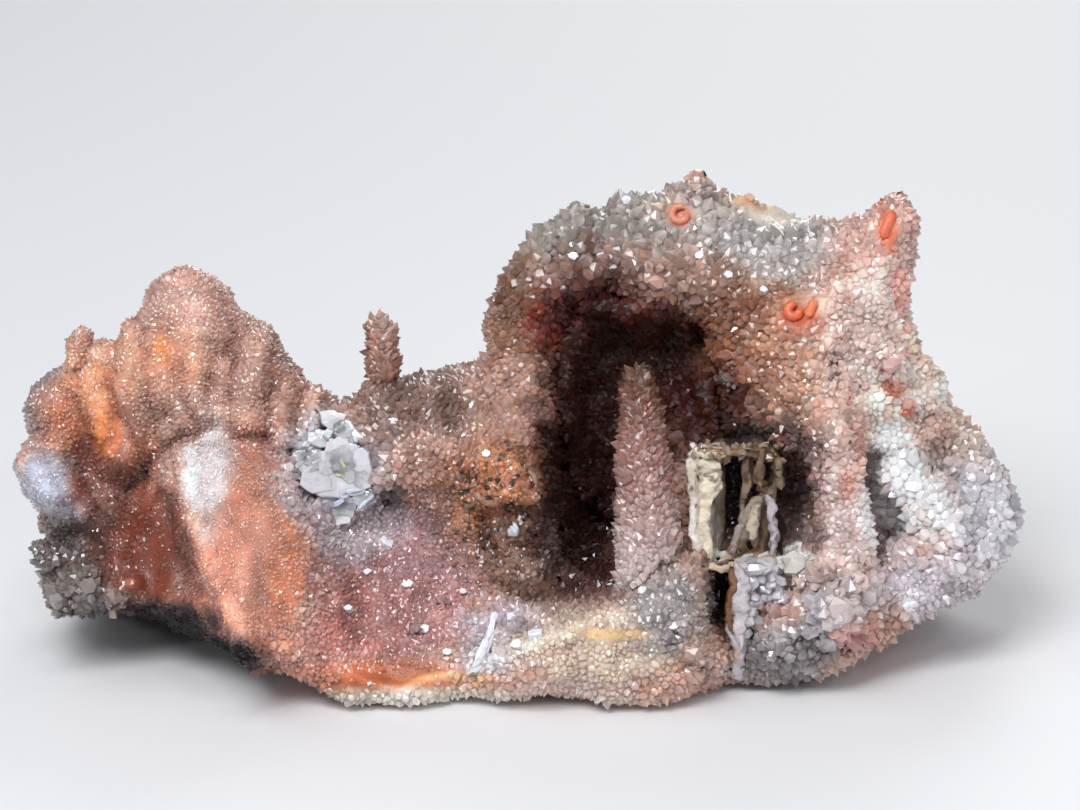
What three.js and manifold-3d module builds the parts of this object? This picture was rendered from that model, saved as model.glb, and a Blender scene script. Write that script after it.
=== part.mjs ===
// A chalcedony pseudomorph specimen: an open, bowl-shaped piece of a cavity wall. Its chalcedony body
// carries stalactites and a hollow cast left by a vanished crystal, and nearly all of it is studded with
// small quartz points.
//
// Row frame: millimetres, +Z up, +X to the right along the specimen, -Y towards the open side. The specimen
// rests on a flat trimmed base at Z = 0.
//
// Face frame: the open side leans back by FACE_LEAN, so most places are given as [u, v, w]: u runs right
// along the face, v runs up it, and w comes straight out of it.

import * as THREE from 'three';
import { edgeTable, triTable } from 'three/addons/objects/MarchingCubes.js';
import { ImprovedNoise } from 'three/addons/math/ImprovedNoise.js';
import { mergeVertices } from 'three/addons/utils/BufferGeometryUtils.js';
import Module from 'manifold-3d';

const wasm = await Module();
wasm.setup();

// ---------------------------------------------------------------- driving dimensions

const FACE_LEAN = THREE.MathUtils.degToRad(20);
const FACE_ORIGIN = new THREE.Vector3(-0.1, 0.6, 31.5); // where the middle of the face lies in the row frame
const CELL = 3.7; // size of the cells that the body is meshed in
const CLEARANCE = 0.5; // how far the pieces on the body are cut back from it, so that 0.3 or more stays clear
const CRUST_THICKNESS = 2; // of the crystal crust in the cave
const CRUST_POINT_HEIGHT = 1.4;
const RIM_ROUNDING = 3; // how softly the face, back and outline meet
const EDGE_INSET = 0.5; // room for the crystal points that stand on the outline
const BODY_LOW = [-80, -42, -24]; // lowest corner of the space the body is meshed in, in the row frame
const BODY_HIGH = [80, 42, 76]; // its highest corner

// The specimen's outline seen straight onto its face, [u, v].
const OUTLINE = [
  [-68.5, -24.5], [-70.5, -20], [-68.5, -18], [-71.5, -14.5], [-72.5, -9], [-75, -4.5], [-75, -2], [-73, -1],
  [-74, 3.5], [-73, 8.5], [-69.5, 10], [-67, 12.5], [-63.5, 12.5], [-61.5, 14], [-61, 16.5], [-59, 16],
  [-57.5, 13.5], [-56.5, 14], [-56.5, 18], [-54, 19], [-54.5, 22], [-53, 24.5], [-50, 25], [-47, 24.5],
  [-45, 22], [-42, 18.5], [-38, 16], [-34.5, 9.5], [-32.5, 7], [-30, 6.5], [-28.5, 5], [-23, 5.5],
  [-17, 9], [-9.5, 10.5], [-5, 12], [-3.5, 14], [-5.5, 16], [-5.5, 18], [-3.5, 21.5], [-2.5, 25],
  [0.5, 28], [3, 31.5], [8, 35], [12, 32.5], [13, 35], [16, 36.5], [19.5, 36], [24.5, 38],
  [26.5, 39.5], [28.5, 38], [31.5, 37.5], [36, 38.5], [42, 37], [45.5, 32.5], [47, 31], [50.5, 33.5],
  [55.5, 36], [58, 35.5], [58, 32], [57, 24.5], [56.5, 21.5], [58, 14], [62, 9], [64.5, 4.5],
  [66.5, 1.5], [70, 1], [71.5, -4], [75, -10.5], [73, -16], [68, -20], [62.5, -24.5], [53.5, -29],
  [50.5, -28.5], [48.5, -32], [45, -35], [37.5, -36], [31.5, -36], [27, -37], [21, -39], [12, -38],
  [3.5, -37], [-1.5, -38], [-7.5, -37.5], [-13.5, -39.5], [-24.5, -39.5], [-27.5, -37.5], [-34.5, -33.5],
  [-42.5, -30.5], [-50.5, -28], [-57.5, -26], [-65, -25.5],
];

// How far out the face stands, [u, v, w, spread], passing smoothly from each of these places to the next.
const FACE_RELIEF = {
  leftRim: [
    [-73.5, 4.5, 2, 6], [-72.5, -4.5, 6, 5], [-69.5, -12, 8, 5], [-68, -22.5, 6, 6], [-68.5, 6, 0, 5],
  ],
  leftHollow: [[-64, 0, -4, 6], [-64.5, -7.5, -5, 6], [-61, -13.5, -4, 5], [-60.5, -19.5, 0, 5]],
  orangeRidge: [[-60.5, 3, 6, 4], [-58.5, -3, 6, 4]],
  lowerLeft: [[-62, -22.5, 6, 6], [-55, -25.5, 5, 6], [-48.5, -27.5, 8, 5]],
  mound: [
    [-52.5, -9, 8, 5], [-46, -4.5, 19, 4.5], [-42.5, -11.5, 25, 6], [-39, -20.5, 26, 6], [-36, -29, 24, 5],
    [-54, -17, 7, 5], [-48.5, -25, 13, 5], [-33.5, -12, 17, 6], [-30.5, -23.5, 17, 7],
    [-30.5, -30.5, 20, 5],
  ],
  upperLeft: [
    [-64.5, 9, -4, 5], [-60, 12, -4, 5], [-50.5, 21, -4, 7], [-44, 16.5, -3, 6], [-55.5, 9, -4, 6],
    [-47.5, 6, -1, 6], [-40, 6, 0, 6], [-34.5, 3, 1, 6], [-53.5, 0, -2, 5], [-44, 1.5, 2, 4],
    [-37, 0, 3, 5], [-31.5, 3, -3, 5], [-30, -1.5, 2, 5],
  ],
  clusterSeat: [[-26, -4.5, 4, 5], [-26.5, -10.5, 4, 5]],
  saddle: [
    [-18, 3, 2, 6], [-12, 4.5, 0, 6], [-12, 9, -8, 5], [-6, 10.5, -12, 5], [-3, 6, -6, 6],
    [-21, -9, 0, 6],
  ],
  bowl: [
    [-21, -18, 3, 8], [-15, -24, 6, 8], [-7.5, -18, 3, 7], [-23.5, -26.5, 11, 7], [-14.5, -31, 15, 7],
    [-6, -28, 13, 7], [-14.5, -36.5, 20, 6], [-3, -35, 20, 6], [-24.5, -36.5, 20, 5],
  ],
  rustyPatch: [
    [-12, -4.5, 6, 6], [-3, -6, 8, 6], [0, -13.5, 8, 6], [0, -21, 7, 6], [-7.5, -9, 5, 5],
    [4.5, -24, 4, 5], [3.5, -29.5, 14, 5],
  ],
  caveLeftWall: [
    [0, 16.5, -6, 5], [-1.5, 22.5, -8, 5], [3, 9, -4, 5], [3.5, 1.5, -1, 5], [4.5, -7.5, 0, 4],
  ],
  hood: [
    [6, 31.5, -8, 6], [15, 34, -8, 7], [25.5, 36, -6, 7], [12, 27, -3, 7], [21, 26.5, 0, 7],
    [30, 28, 0, 7], [36, 31, -7, 5],
    [33.5, 36.5, -11, 4], [40, 35.5, -12, 4],
  ],
  cave: [
    [10.5, 10.5, -14, 7], [15, 16.5, -10, 6], [18.5, 6, -20, 9], [14, -5, -22, 8], [12, -15.5, -18, 7],
    [12, -23, -10, 5], [24, 13.5, -10, 6], [26, 3, -14, 6],
  ],
  rightWall: [
    [32.5, 20.5, 3, 7], [41.5, 22, 5, 7], [36, 12, 1, 7], [41.5, 6, 8, 7], [44, 0, 9, 5],
    [33, 3, -2, 6],
  ],
  lowerChamber: [[30, -6, -8, 6], [41, -6, -8, 6], [42, -15, -6, 6], [39, -22.5, -2, 5]],
  frontLedge: [
    [11.5, -29.5, 16, 6], [19, -25, 15, 6], [24, -23.5, 14, 4.5], [11.5, -36.5, 20, 6],
    [20.5, -36.5, 20, 6], [25.5, -32, 16, 4.5], [17.5, -32, 19, 6],
  ],
  lowerRight: [
    [31.5, -26.5, 4, 5], [39.5, -29.5, 12, 6], [44.5, -25, 12, 6], [31.5, -34, 11, 4],
    [37, -34.5, 14, 5], [44, -33, 13, 5],
  ],
  upperRight: [
    [49, 25, 2, 6], [54.5, 32.5, 2, 5], [50.5, 16, 5, 7], [55, 8.5, 5, 7], [45.5, 13, 8, 5],
    [59.5, 6, 2, 5], [64.5, 1.5, -1, 5],
  ],
  rightHollow: [
    [54, -4.5, -3, 6], [61.5, -6, -5, 6], [55.5, -13.5, -4, 6], [66, -4.5, -3, 5], [52, -22.5, 4, 5],
  ],
  rightRim: [
    [70, -1.5, 0, 5], [73, -10.5, 0, 5], [69.5, -9, -2, 5], [68, -17, 6, 5], [60.5, -22, 9, 5],
    [54.5, -26, 10, 5], [48.5, -28, 10, 5],
  ],
};

// The back is one broad dome, from BACK_RIM at the outline to BACK_RIM + BACK_RISE behind the middle.
const BACK_RIM = 11;
const BACK_RISE = 22;
const BACK_MIDDLE = [0, -8];
const BACK_REACH = [80, 48];

// Rounded lumps on the body: where they are, their half sizes and their turn about w, in degrees.
const LUMPS = [
  { at: [-62.5, 4, 5], size: [3.2, 3.4, 3], turn: 0 }, // orange lobes beside the left hollow
  { at: [-64.5, 8, 1], size: [2.6, 3, 2.6], turn: 0 },
  { at: [-59, -1, 6], size: [3, 4, 3], turn: 20 },
  { at: [-68.8, -6, 6], size: [5, 3.4, 4], turn: -40 }, // milky lobes on the left rim
  { at: [-65, -9.5, 6], size: [3.2, 3, 3], turn: 0 },
  { at: [-66, -22, 6], size: [3.8, 3, 3.5], turn: 0 },
  { at: [-60, -23, 6.5], size: [3.6, 2.8, 3], turn: 20 },
  { at: [-43, -12, 15], size: [8, 11, 9], turn: 15 }, // the big orange mound
  { at: [-46, -5, 12], size: [6, 5, 8], turn: 0 },
  { at: [-2.5, -6.5, 8], size: [5, 4, 3], turn: 10 }, // rusty nodules
  { at: [0.5, -18.5, 8], size: [4.2, 4.6, 3], turn: 0 },
  { at: [-14, -5.5, 6], size: [3, 3, 2.5], turn: 0 },
  { at: [44.5, -24.5, 12], size: [4.2, 4.8, 4], turn: -15 }, // clear lumps at the lower right
  { at: [38.5, -29.5, 12], size: [4.6, 4, 3.5], turn: 10 },
  { at: [52, -26, 8], size: [4, 2.6, 3], turn: 25 },
];

// Ridges, stubs and half-buried columns: their two ends, and the radius at each.
const RIDGES = [
  { from: [-49.5, 20.5, -3], to: [-47, 3, 1], radius: [4.4, 5.5] }, // the left peak and the columns below it
  { from: [-52.5, 22, -4], to: [-51, 8, -2], radius: [3.4, 4] },
  { from: [-44.5, 9, 2], to: [-44, -1, 6], radius: [2.6, 3.2] },
  { from: [-39, 12, 0], to: [-38.5, 1, 5], radius: [3, 3.6] },
  { from: [-34, 7, -1], to: [-34.5, -1, 3], radius: [2.6, 3.2] },
  { from: [-60, 15.4, -4], to: [-60, 6, -2], radius: [1.8, 3.4] }, // stubs on the left crest
  { from: [-55, 16, -4], to: [-54.5, 9, -3], radius: [3, 3.4] },
  { from: [-31, 4.5, -3], to: [-31, -1, 0], radius: [2, 2.8] },
  { from: [-46, -5, 20], to: [-38, -29, 25], radius: [2.5, 2.5] }, // the crest of the orange mound
  { from: [-20.2, 6, 0.5], to: [-18.5, -4, 3], radius: [3.2, 6.4] }, // foot of the left stalactite
  { from: [56, 34, 1], to: [51, 22, 2], radius: [2.6, 6] }, // the right horn
  { from: [43.5, 16, 8], to: [44, -1, 9], radius: [1.6, 2] }, // pale seam on the right wall
  { from: [0, -33, 17], to: [25, -24, 16], radius: [3.5, 4] }, // the front ledge
  { from: [20.5, -28, 13], to: [22, -21, 11.5], radius: [6.5, 4.4] }, // foot of the middle stalactite
  { from: [58, -18, 1], to: [62, -21, 5], radius: [5, 4] }, // foot of the right stalactite
  { from: [46, 3, 7], to: [49, -26, 9], radius: [3.4, 4] }, // the right column
  { from: [57.5, -4.5, 3], to: [65.5, -18, 5], radius: [3, 4.6] }, // and one that leans beside it
];

// What the body is hollowed by: where, half sizes and turn about w.
const HOLLOWS = [
  { at: [16, 1, -10], size: [10.5, 20, 12], turn: 8 }, // the cave
  { at: [22, 14, -11], size: [11, 8, 9], turn: 0 }, // and its roof
  { at: [36, -10, -3], size: [9.5, 9, 9], turn: 0 }, // the chamber round the cast
  { at: [54, -11, -1], size: [5, 9, 6], turn: 0 }, // hollows at the right
  { at: [62, -6, -2], size: [6, 5, 5], turn: 0 },
  { at: [-64.5, -3.5, 0], size: [3.6, 8, 5], turn: -10 }, // left hollow
  { at: [-19.5, -8.5, 4], size: [2.2, 2.6, 4], turn: 0 }, // small pits
  { at: [-55, -5.5, 6], size: [2, 2, 4], turn: 0 },
  { at: [-8, -8.5, 8], size: [1.8, 3.2, 3], turn: 20 },
  { at: [29.2, -24.5, 10], size: [2, 7, 9], turn: 0 }, // slit below the cast
];

// Crystal points raised on the body, from coarse clear ones to none on bare chalcedony: [where, half sizes,
// height].
const POINT_HEIGHT = 1.5;
const POINT_REGIONS = [
  [[-27, -5, 3], [8, 9, 7], 0], // under the quartz cluster, the stalactites and the cast
  [[19.5, -21, 10], [8, 6, 8], 0],
  [[-20.5, 3, 1], [4.5, 5, 6], 0],
  [[-67, 6, -3], [4, 4, 5], 0],
  [[33, -12, 0], [9, 12, 12], 0],
  [[33, -27, 8], [5, 9, 9], 0],
  [[-43, -14, 18], [9, 17, 12], 0], // the bare orange mound
  [[-61, 2, 4], [5, 8, 8], 0.5], // smooth orange lobes
  [[20, 30, -2], [27, 12, 20], 2.1], // coarse points on the hood
  [[42, -27, 10], [12, 9, 14], 2.1], // and at the lower right
  [[62, -5, 0], [14, 18, 16], 1.8],
];
const BACK_POINT_HEIGHT = 0.6;
const BACK_STARTS = -10; // w below which the skin is rind
const BASE_BAND = 4; // height above the base that stays free of points

// Where the cave's wall carries its own crust of crystals.
const CRUSTED = { at: [18, 5, -13], size: [15, 24, 14], turn: 8 };

// Stalactites: foot and tip, the radius at each, and how finely they are studded.
const CENTRE_STALACTITE = {
  foot: [19.6, -27, 12], tip: [17.4, 11.6, 7], radius: [5.4, 2.2], rings: 16, sides: 10,
};
const LEFT_STALACTITE = { foot: [-20, 1, 1], tip: [-20.9, 19.2, 0], radius: [3, 1.7], rings: 9, sides: 8 };
const LEFT_FINGER = { foot: [-67.2, 4, -3], tip: [-65.6, 17.8, -4], radius: [2.6, 1.6], rings: 7, sides: 7 };
const COLUMN_POINT_HEIGHT = 1.1;

// Walls of the hollow cast that a vanished crystal left: an outline [s, t] in millimetres, placed at `at`
// and turned.
const CAST_WALL = 1.1;
const CAST_PLATES = [
  { at: [25.6, -9.6, 9.5], turns: [0, 66, 0],
    outline: [[0, 7.5], [4, 8.3], [11, 7.6], [11.5, -6], [6, -9.5], [1.5, -7.5]] },
  { at: [26, -1.9, 9], turns: [-82, 0, -4],
    outline: [[0, 0.5], [5, -0.6], [10.5, 0.6], [11.8, 8], [9, 12], [2.5, 11.5]] },
  { at: [38, -8, 7], turns: [0, 97, 3],
    outline: [[0.5, 5.5], [5, 6.4], [10.5, 6], [11, -5], [4, -6.5], [1, -3]] },
  { at: [33.4, -7, 7], turns: [0, 78, 8],
    outline: [[0, 5.5], [2.2, 5.8], [4.4, 2], [3.6, -4], [6.5, -10], [1, -11], [0.6, -4]] },
  { at: [36, -13.5, 6], turns: [0, 60, -14],
    outline: [[0, 5], [3, 6], [6.5, 2], [7, -6], [2, -7], [0.5, -2]] },
  { at: [31, -18.2, 12.6], turns: [-84, 0, 4],
    outline: [[-3, 0], [2, -1.4], [7, 0.2], [8.5, 6], [7, 10.5], [-1, 10]] },
  { at: [32.4, -26.6, 12], turns: [6, 24, 2],
    outline: [[-1.2, 9.6], [1.4, 9], [2, 1], [1.6, -8.5], [-1.4, -9], [-1.8, -1]] },
  { at: [36, -24.2, 11], turns: [10, -30, -6],
    outline: [[-2.2, 7.5], [1, 8], [2.6, 3], [2.2, -6], [-2, -7], [-2.6, 0]] },
];

// Clear quartz crystals: where each stands, where it leans, its radius, its length and how broad its end
// face is.
const CLUSTER_CRYSTALS = [
  { at: [-27, -5, 3], towards: [0.15, 0.4, 0.9], radius: 5, length: 4.6, cap: 0.7 },
  { at: [-29.5, -1.5, 3.5], towards: [-0.15, 0.5, 0.85], radius: 3.3, length: 4.6, cap: 0.5 },
  { at: [-25, -1, 2.5], towards: [0.2, 0.6, 0.8], radius: 2.9, length: 4.6, cap: 0.4 },
  { at: [-23.3, -7.5, 3], towards: [0.4, 0.1, 0.9], radius: 3, length: 4, cap: 0.5 },
  { at: [-29.5, -8.3, 4.5], towards: [-0.25, 0.1, 0.95], radius: 3, length: 4, cap: 0.5 },
  { at: [-32, -4, 4], towards: [-0.4, 0.3, 0.85], radius: 2.4, length: 4, cap: 0.4 },
  { at: [-31, 1.5, 2.5], towards: [-0.1, 0.7, 0.7], radius: 1.9, length: 4.4, cap: 0.2 },
  { at: [-26.5, -10, 4], towards: [0.1, -0.2, 0.95], radius: 2.2, length: 4, cap: 0.3 },
];
const SINGLE_CRYSTALS = [
  { at: [-4.8, -31.5, 13], towards: [0.1, 0.8, 0.6], radius: 1.9, length: 4.6, cap: 0.15 },
  { at: [-2, -30.5, 13], towards: [0.4, 0.9, 0.3], radius: 1.6, length: 4.2, cap: 0.15 },
  { at: [-7.5, -32, 14], towards: [-0.3, 0.7, 0.6], radius: 1.3, length: 2.6, cap: 0.15 },
  { at: [-19.5, -14.5, 2], towards: [0, 0.2, 1], radius: 1.4, length: 1.8, cap: 0.15 },
  { at: [0, -13, 10], towards: [0.2, 0.3, 0.9], radius: 1.7, length: 1.2, cap: 0.15 },
  { at: [24.5, -32, 15], towards: [0.3, 0.3, 0.9], radius: 1.7, length: 3.6, cap: 0.15 },
  { at: [22, -29, 15], towards: [-0.3, 0.5, 0.8], radius: 1.4, length: 3, cap: 0.15 },
  { at: [43, -20.5, 10], towards: [-0.1, 0.4, 0.9], radius: 2.2, length: 3.2, cap: 0.15 },
  { at: [55.5, 11, 5], towards: [0.1, 0.4, 0.9], radius: 1.9, length: 2.6, cap: 0.15 },
  { at: [26.4, 37, -5], towards: [0.1, 0.9, 0.3], radius: 1.6, length: 2.2, cap: 0.15 },
  { at: [-67, -24, 7], towards: [-0.4, 0.1, 0.9], radius: 1.6, length: 3, cap: 0.15 },
  { at: [-69.5, -18, 6], towards: [-0.6, 0.9, 0.2], radius: 1.3, length: 3, cap: 0.15 },
];

// ---------------------------------------------------------------- the body's shape as a distance field

const alongFace = new THREE.Vector3(1, 0, 0);
const upFace = new THREE.Vector3(0, Math.sin(FACE_LEAN), Math.cos(FACE_LEAN));
const outOfFace = new THREE.Vector3(0, -Math.cos(FACE_LEAN), Math.sin(FACE_LEAN));
const faceToRow = new THREE.Matrix4().makeBasis(alongFace, upFace, outOfFace).setPosition(FACE_ORIGIN);
const rowToFace = faceToRow.clone().invert();
const noise = new ImprovedNoise();

const smoothMin = (a, b, soft) => Math.min(a, b) - Math.max(soft - Math.abs(a - b), 0) ** 2 / (4 * soft);
const smoothMax = (a, b, soft) => -smoothMin(-a, -b, soft);

// Signed distance from [u, v] to the outline, negative inside.
function outlineDistance(u, v) {
  let nearest = Infinity;
  let inside = false;
  OUTLINE.forEach(([u1, v1], i) => {
    const [u0, v0] = OUTLINE[(i + OUTLINE.length - 1) % OUTLINE.length];
    const along = THREE.MathUtils.clamp(
      ((u - u0) * (u1 - u0) + (v - v0) * (v1 - v0)) / ((u1 - u0) ** 2 + (v1 - v0) ** 2), 0, 1);
    nearest = Math.min(nearest, Math.hypot(u - u0 - along * (u1 - u0), v - v0 - along * (v1 - v0)));
    if (v0 > v !== v1 > v && u < u0 + ((v - v0) * (u1 - u0)) / (v1 - v0)) inside = !inside;
  });
  return inside ? -nearest : nearest;
}

// How far out the face stands at [u, v].
const reliefPlaces = Object.values(FACE_RELIEF).flat();
function faceLevel(u, v) {
  let weights = 0;
  let levels = 0;
  for (const [pu, pv, level, spread] of reliefPlaces) {
    const q = ((u - pu) ** 2 + (v - pv) ** 2) / spread ** 2;
    const weight = Math.exp(-q) + 0.001 / (1 + q);
    weights += weight;
    levels += weight * level;
  }
  return levels / weights;
}

function faceDistance(u, v, w) {
  const level = faceLevel(u, v);
  const slope = Math.hypot(faceLevel(u + 0.5, v) - level, faceLevel(u, v + 0.5) - level) / 0.5;
  return (w - level) / Math.hypot(1, slope);
}

function backDistance(u, v, w) {
  const reach = ((u - BACK_MIDDLE[0]) / BACK_REACH[0]) ** 2 + ((v - BACK_MIDDLE[1]) / BACK_REACH[1]) ** 2;
  const level = -BACK_RIM - BACK_RISE * Math.sqrt(Math.max(0, 1 - reach));
  return (level - w) * 0.85;
}

function ellipsoidDistance([u, v, w], { at, size, turn = 0 }) {
  const angle = THREE.MathUtils.degToRad(turn);
  const du = u - at[0];
  const dv = v - at[1];
  const p = [
    (du * Math.cos(angle) + dv * Math.sin(angle)) / size[0],
    (dv * Math.cos(angle) - du * Math.sin(angle)) / size[1],
    (w - at[2]) / size[2],
  ];
  const reach = Math.hypot(...p);
  return (reach * (reach - 1)) / Math.max(1e-6, Math.hypot(p[0] / size[0], p[1] / size[1], p[2] / size[2]));
}

function ridgeDistance(p, { from, to, radius }) {
  const span = to.map((t, i) => t - from[i]);
  const lengthSquared = span.reduce((sum, s) => sum + s * s, 0);
  const along = THREE.MathUtils.clamp(
    span.reduce((sum, s, i) => sum + s * (p[i] - from[i]), 0) / lengthSquared, 0, 1);
  const off = Math.hypot(...p.map((x, i) => x - from[i] - along * span[i]));
  return off - THREE.MathUtils.lerp(radius[0], radius[1], along);
}

const toFace = (place) => place.clone().applyMatrix4(rowToFace).toArray();

function bodyDistance(x, y, z) {
  const p = toFace(new THREE.Vector3(x, y, z));
  const [u, v, w] = p;
  let d = smoothMax(faceDistance(u, v, w), backDistance(u, v, w), RIM_ROUNDING);
  d = smoothMax(d, outlineDistance(u, v) + EDGE_INSET, RIM_ROUNDING);
  for (const ridge of RIDGES) d = smoothMin(d, ridgeDistance(p, ridge), 2);
  for (const lump of LUMPS) d = smoothMin(d, ellipsoidDistance(p, lump), 1.5);
  for (const hollow of HOLLOWS) d = smoothMax(d, -ellipsoidDistance(p, hollow), 2);
  if (ellipsoidDistance(p, CRUSTED) < 0) return d;
  return d + 0.9 * noise.noise(x / 7, y / 7, z / 7) + 0.5 * noise.noise(x / 3.5, y / 3.5, z / 3.5);
}

// How high the crystal points stand at a place on the body.
function pointHeight(place) {
  if (place.z < BASE_BAND) return 0;
  const p = toFace(place);
  if (ellipsoidDistance(p, CRUSTED) < 0) return 0;
  if (p[2] < BACK_STARTS) return BACK_POINT_HEIGHT;
  const region = POINT_REGIONS.find(([at, size]) => ellipsoidDistance(p, { at, size }) < 0);
  return region ? region[2] : POINT_HEIGHT;
}

// ---------------------------------------------------------------- meshing

const CORNERS = [[0, 0, 0], [1, 0, 0], [1, 1, 0], [0, 1, 0], [0, 0, 1], [1, 0, 1], [1, 1, 1], [0, 1, 1]];
const EDGES = [
  [0, 1], [1, 2], [3, 2], [0, 3], [4, 5], [5, 6], [7, 6], [4, 7], [0, 4], [1, 5], [2, 6], [3, 7],
];
const LEAST_SHARE = 0.12; // keeps vertices off the grid's corners, so that no triangle is a sliver

// The closed skin of the places where distance(x, y, z) is below zero, by marching cubes.
function skinOf(distance, low, high, cell) {
  const counts = low.map((l, i) => Math.ceil((high[i] - l) / cell) + 1);
  const indexOf = (i, j, k) => i + counts[0] * (j + counts[1] * k);
  const values = new Float32Array(counts[0] * counts[1] * counts[2]);
  for (let k = 0; k < counts[2]; k++)
    for (let j = 0; j < counts[1]; j++)
      for (let i = 0; i < counts[0]; i++)
        values[indexOf(i, j, k)] = distance(low[0] + i * cell, low[1] + j * cell, low[2] + k * cell);

  const positions = [];
  const vertexOnEdge = new Map();
  function vertexAt(i, j, k, edge) {
    const ends = EDGES[edge].map((c) => [i + CORNERS[c][0], j + CORNERS[c][1], k + CORNERS[c][2]]);
    const [a, b] = ends.map((e) => indexOf(...e));
    const key = a * values.length + b;
    if (!vertexOnEdge.has(key)) {
      const share = THREE.MathUtils.clamp(values[a] / (values[a] - values[b]), LEAST_SHARE, 1 - LEAST_SHARE);
      vertexOnEdge.set(key, positions.length / 3);
      for (let axis = 0; axis < 3; axis++)
        positions.push(low[axis] + cell * THREE.MathUtils.lerp(ends[0][axis], ends[1][axis], share));
    }
    return vertexOnEdge.get(key);
  }

  const triangles = [];
  for (let k = 0; k < counts[2] - 1; k++)
    for (let j = 0; j < counts[1] - 1; j++)
      for (let i = 0; i < counts[0] - 1; i++) {
        let pattern = 0;
        CORNERS.forEach(([ci, cj, ck], c) => {
          if (values[indexOf(i + ci, j + cj, k + ck)] > 0) pattern |= 1 << c;
        });
        if (edgeTable[pattern] === 0) continue;
        for (let t = pattern * 16; triTable[t] !== -1; t++) triangles.push(vertexAt(i, j, k, triTable[t]));
      }
  return geometryOf(positions, triangles);
}

function geometryOf(positions, triangles) {
  const geometry = new THREE.BufferGeometry();
  geometry.setAttribute('position', new THREE.Float32BufferAttribute(positions, 3));
  return geometry.setIndex(triangles);
}

// ---------------------------------------------------------------- working on a skin

function neighboursOf(skin) {
  const index = skin.index.array;
  const neighbours = Array.from({ length: skin.attributes.position.count }, () => new Set());
  for (let t = 0; t < index.length; t += 3)
    for (let c = 0; c < 3; c++) {
      neighbours[index[t + c]].add(index[t + ((c + 1) % 3)]);
      neighbours[index[t + c]].add(index[t + ((c + 2) % 3)]);
    }
  return neighbours;
}

// A copy of a skin with every vertex moved out by amounts[vertex], along normals evened out over its
// neighbours.
function movedOut(skin, amounts) {
  const moved = skin.clone();
  moved.computeVertexNormals();
  const place = new THREE.Vector3();
  const normals = neighboursOf(skin).map((around, i) => {
    const normal = new THREE.Vector3();
    for (const n of [i, ...around]) normal.add(place.fromBufferAttribute(moved.attributes.normal, n));
    return normal.normalize();
  });
  normals.forEach((normal, i) => {
    place.fromBufferAttribute(skin.attributes.position, i).addScaledVector(normal, amounts[i]);
    moved.attributes.position.setXYZ(i, ...place);
  });
  return moved;
}

// A copy of a skin with some of its vertices raised into crystal points, never two neighbours, so that flat
// faces run down all round each point. heightAt(place, vertex) gives how high the points stand.
function withPoints(skin, heightAt, seed) {
  THREE.MathUtils.seededRandom(seed);
  const neighbours = neighboursOf(skin);
  const order = neighbours.map((_, i) => [THREE.MathUtils.seededRandom(), i]).sort((a, b) => a[0] - b[0]);
  const heights = new Float32Array(neighbours.length);
  const place = new THREE.Vector3();
  for (const [share, i] of order) {
    const height = heightAt(place.fromBufferAttribute(skin.attributes.position, i), i);
    if ([...neighbours[i]].every((n) => heights[n] === 0)) heights[i] = height * (0.7 + 0.6 * share);
  }
  return movedOut(skin, heights);
}

// The edges that only one of these triangles has, each in its triangle's direction.
function borderOf(patch) {
  const edges = new Map();
  for (const triangle of patch)
    triangle.forEach((a, c) => {
      const b = triangle[(c + 1) % 3];
      if (!edges.delete(b + ' ' + a)) edges.set(a + ' ' + b, [a, b]);
    });
  return [...edges.values()];
}

// A crust on the part of a skin where isCovered(place) holds. Its underside is the skin moved out by the
// clearance, and its top is the same triangles moved out further and raised into crystal points.
function crustOn(skin, isCovered, thickness, crystalHeight, seed) {
  const { position } = skin.attributes;
  const index = [...skin.index.array];
  const place = new THREE.Vector3();
  let patch = [];
  for (let t = 0; t < index.length; t += 3) patch.push(index.slice(t, t + 3));
  const covered = (i) => isCovered(place.fromBufferAttribute(position, i));
  patch = patch.filter((triangle) => triangle.every(covered));

  // Corners where the border would meet itself are left out, so that the crust closes cleanly.
  const pinches = () => {
    const starts = borderOf(patch).map(([a]) => a);
    return new Set(starts.filter((a, i) => starts.indexOf(a) !== i));
  };
  for (let pinched = pinches(); pinched.size > 0; pinched = pinches())
    patch = patch.filter((triangle) => !triangle.some((i) => pinched.has(i)));

  const border = borderOf(patch);
  const rim = new Set(border.flat());
  const underside = movedOut(skin, new Float32Array(position.count).fill(CLEARANCE));
  const level = movedOut(skin, new Float32Array(position.count).fill(CLEARANCE + thickness));
  const top = withPoints(level, (_, i) => (rim.has(i) ? 0 : crystalHeight), seed);
  const upper = position.count; // where the top's vertices start
  const triangles = [];
  for (const [a, b, c] of patch) triangles.push(a + upper, b + upper, c + upper, a, c, b);
  for (const [a, b] of border) triangles.push(a, b, b + upper, a, b + upper, a + upper);
  return geometryOf([...underside.attributes.position.array, ...top.attributes.position.array], triangles);
}

// ---------------------------------------------------------------- joining and cutting

function solidOf(geometry) {
  const bare = geometry.clone();
  bare.deleteAttribute('normal');
  bare.deleteAttribute('uv');
  const merged = mergeVertices(bare, 1e-4);
  return new wasm.Manifold(new wasm.Mesh({
    numProp: 3,
    vertProperties: new Float32Array(merged.attributes.position.array),
    triVerts: new Uint32Array(merged.index.array),
  }));
}

const joined = (solids) => solids.reduce((whole, solid) => whole.add(solid));

// The largest single piece of a solid, as a geometry.
function geometryFrom(solid) {
  const largest = solid.decompose().sort((a, b) => b.volume() - a.volume())[0];
  const mesh = largest.getMesh();
  return geometryOf(mesh.vertProperties, [...mesh.triVerts]);
}

// ---------------------------------------------------------------- the pieces on the body

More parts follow.
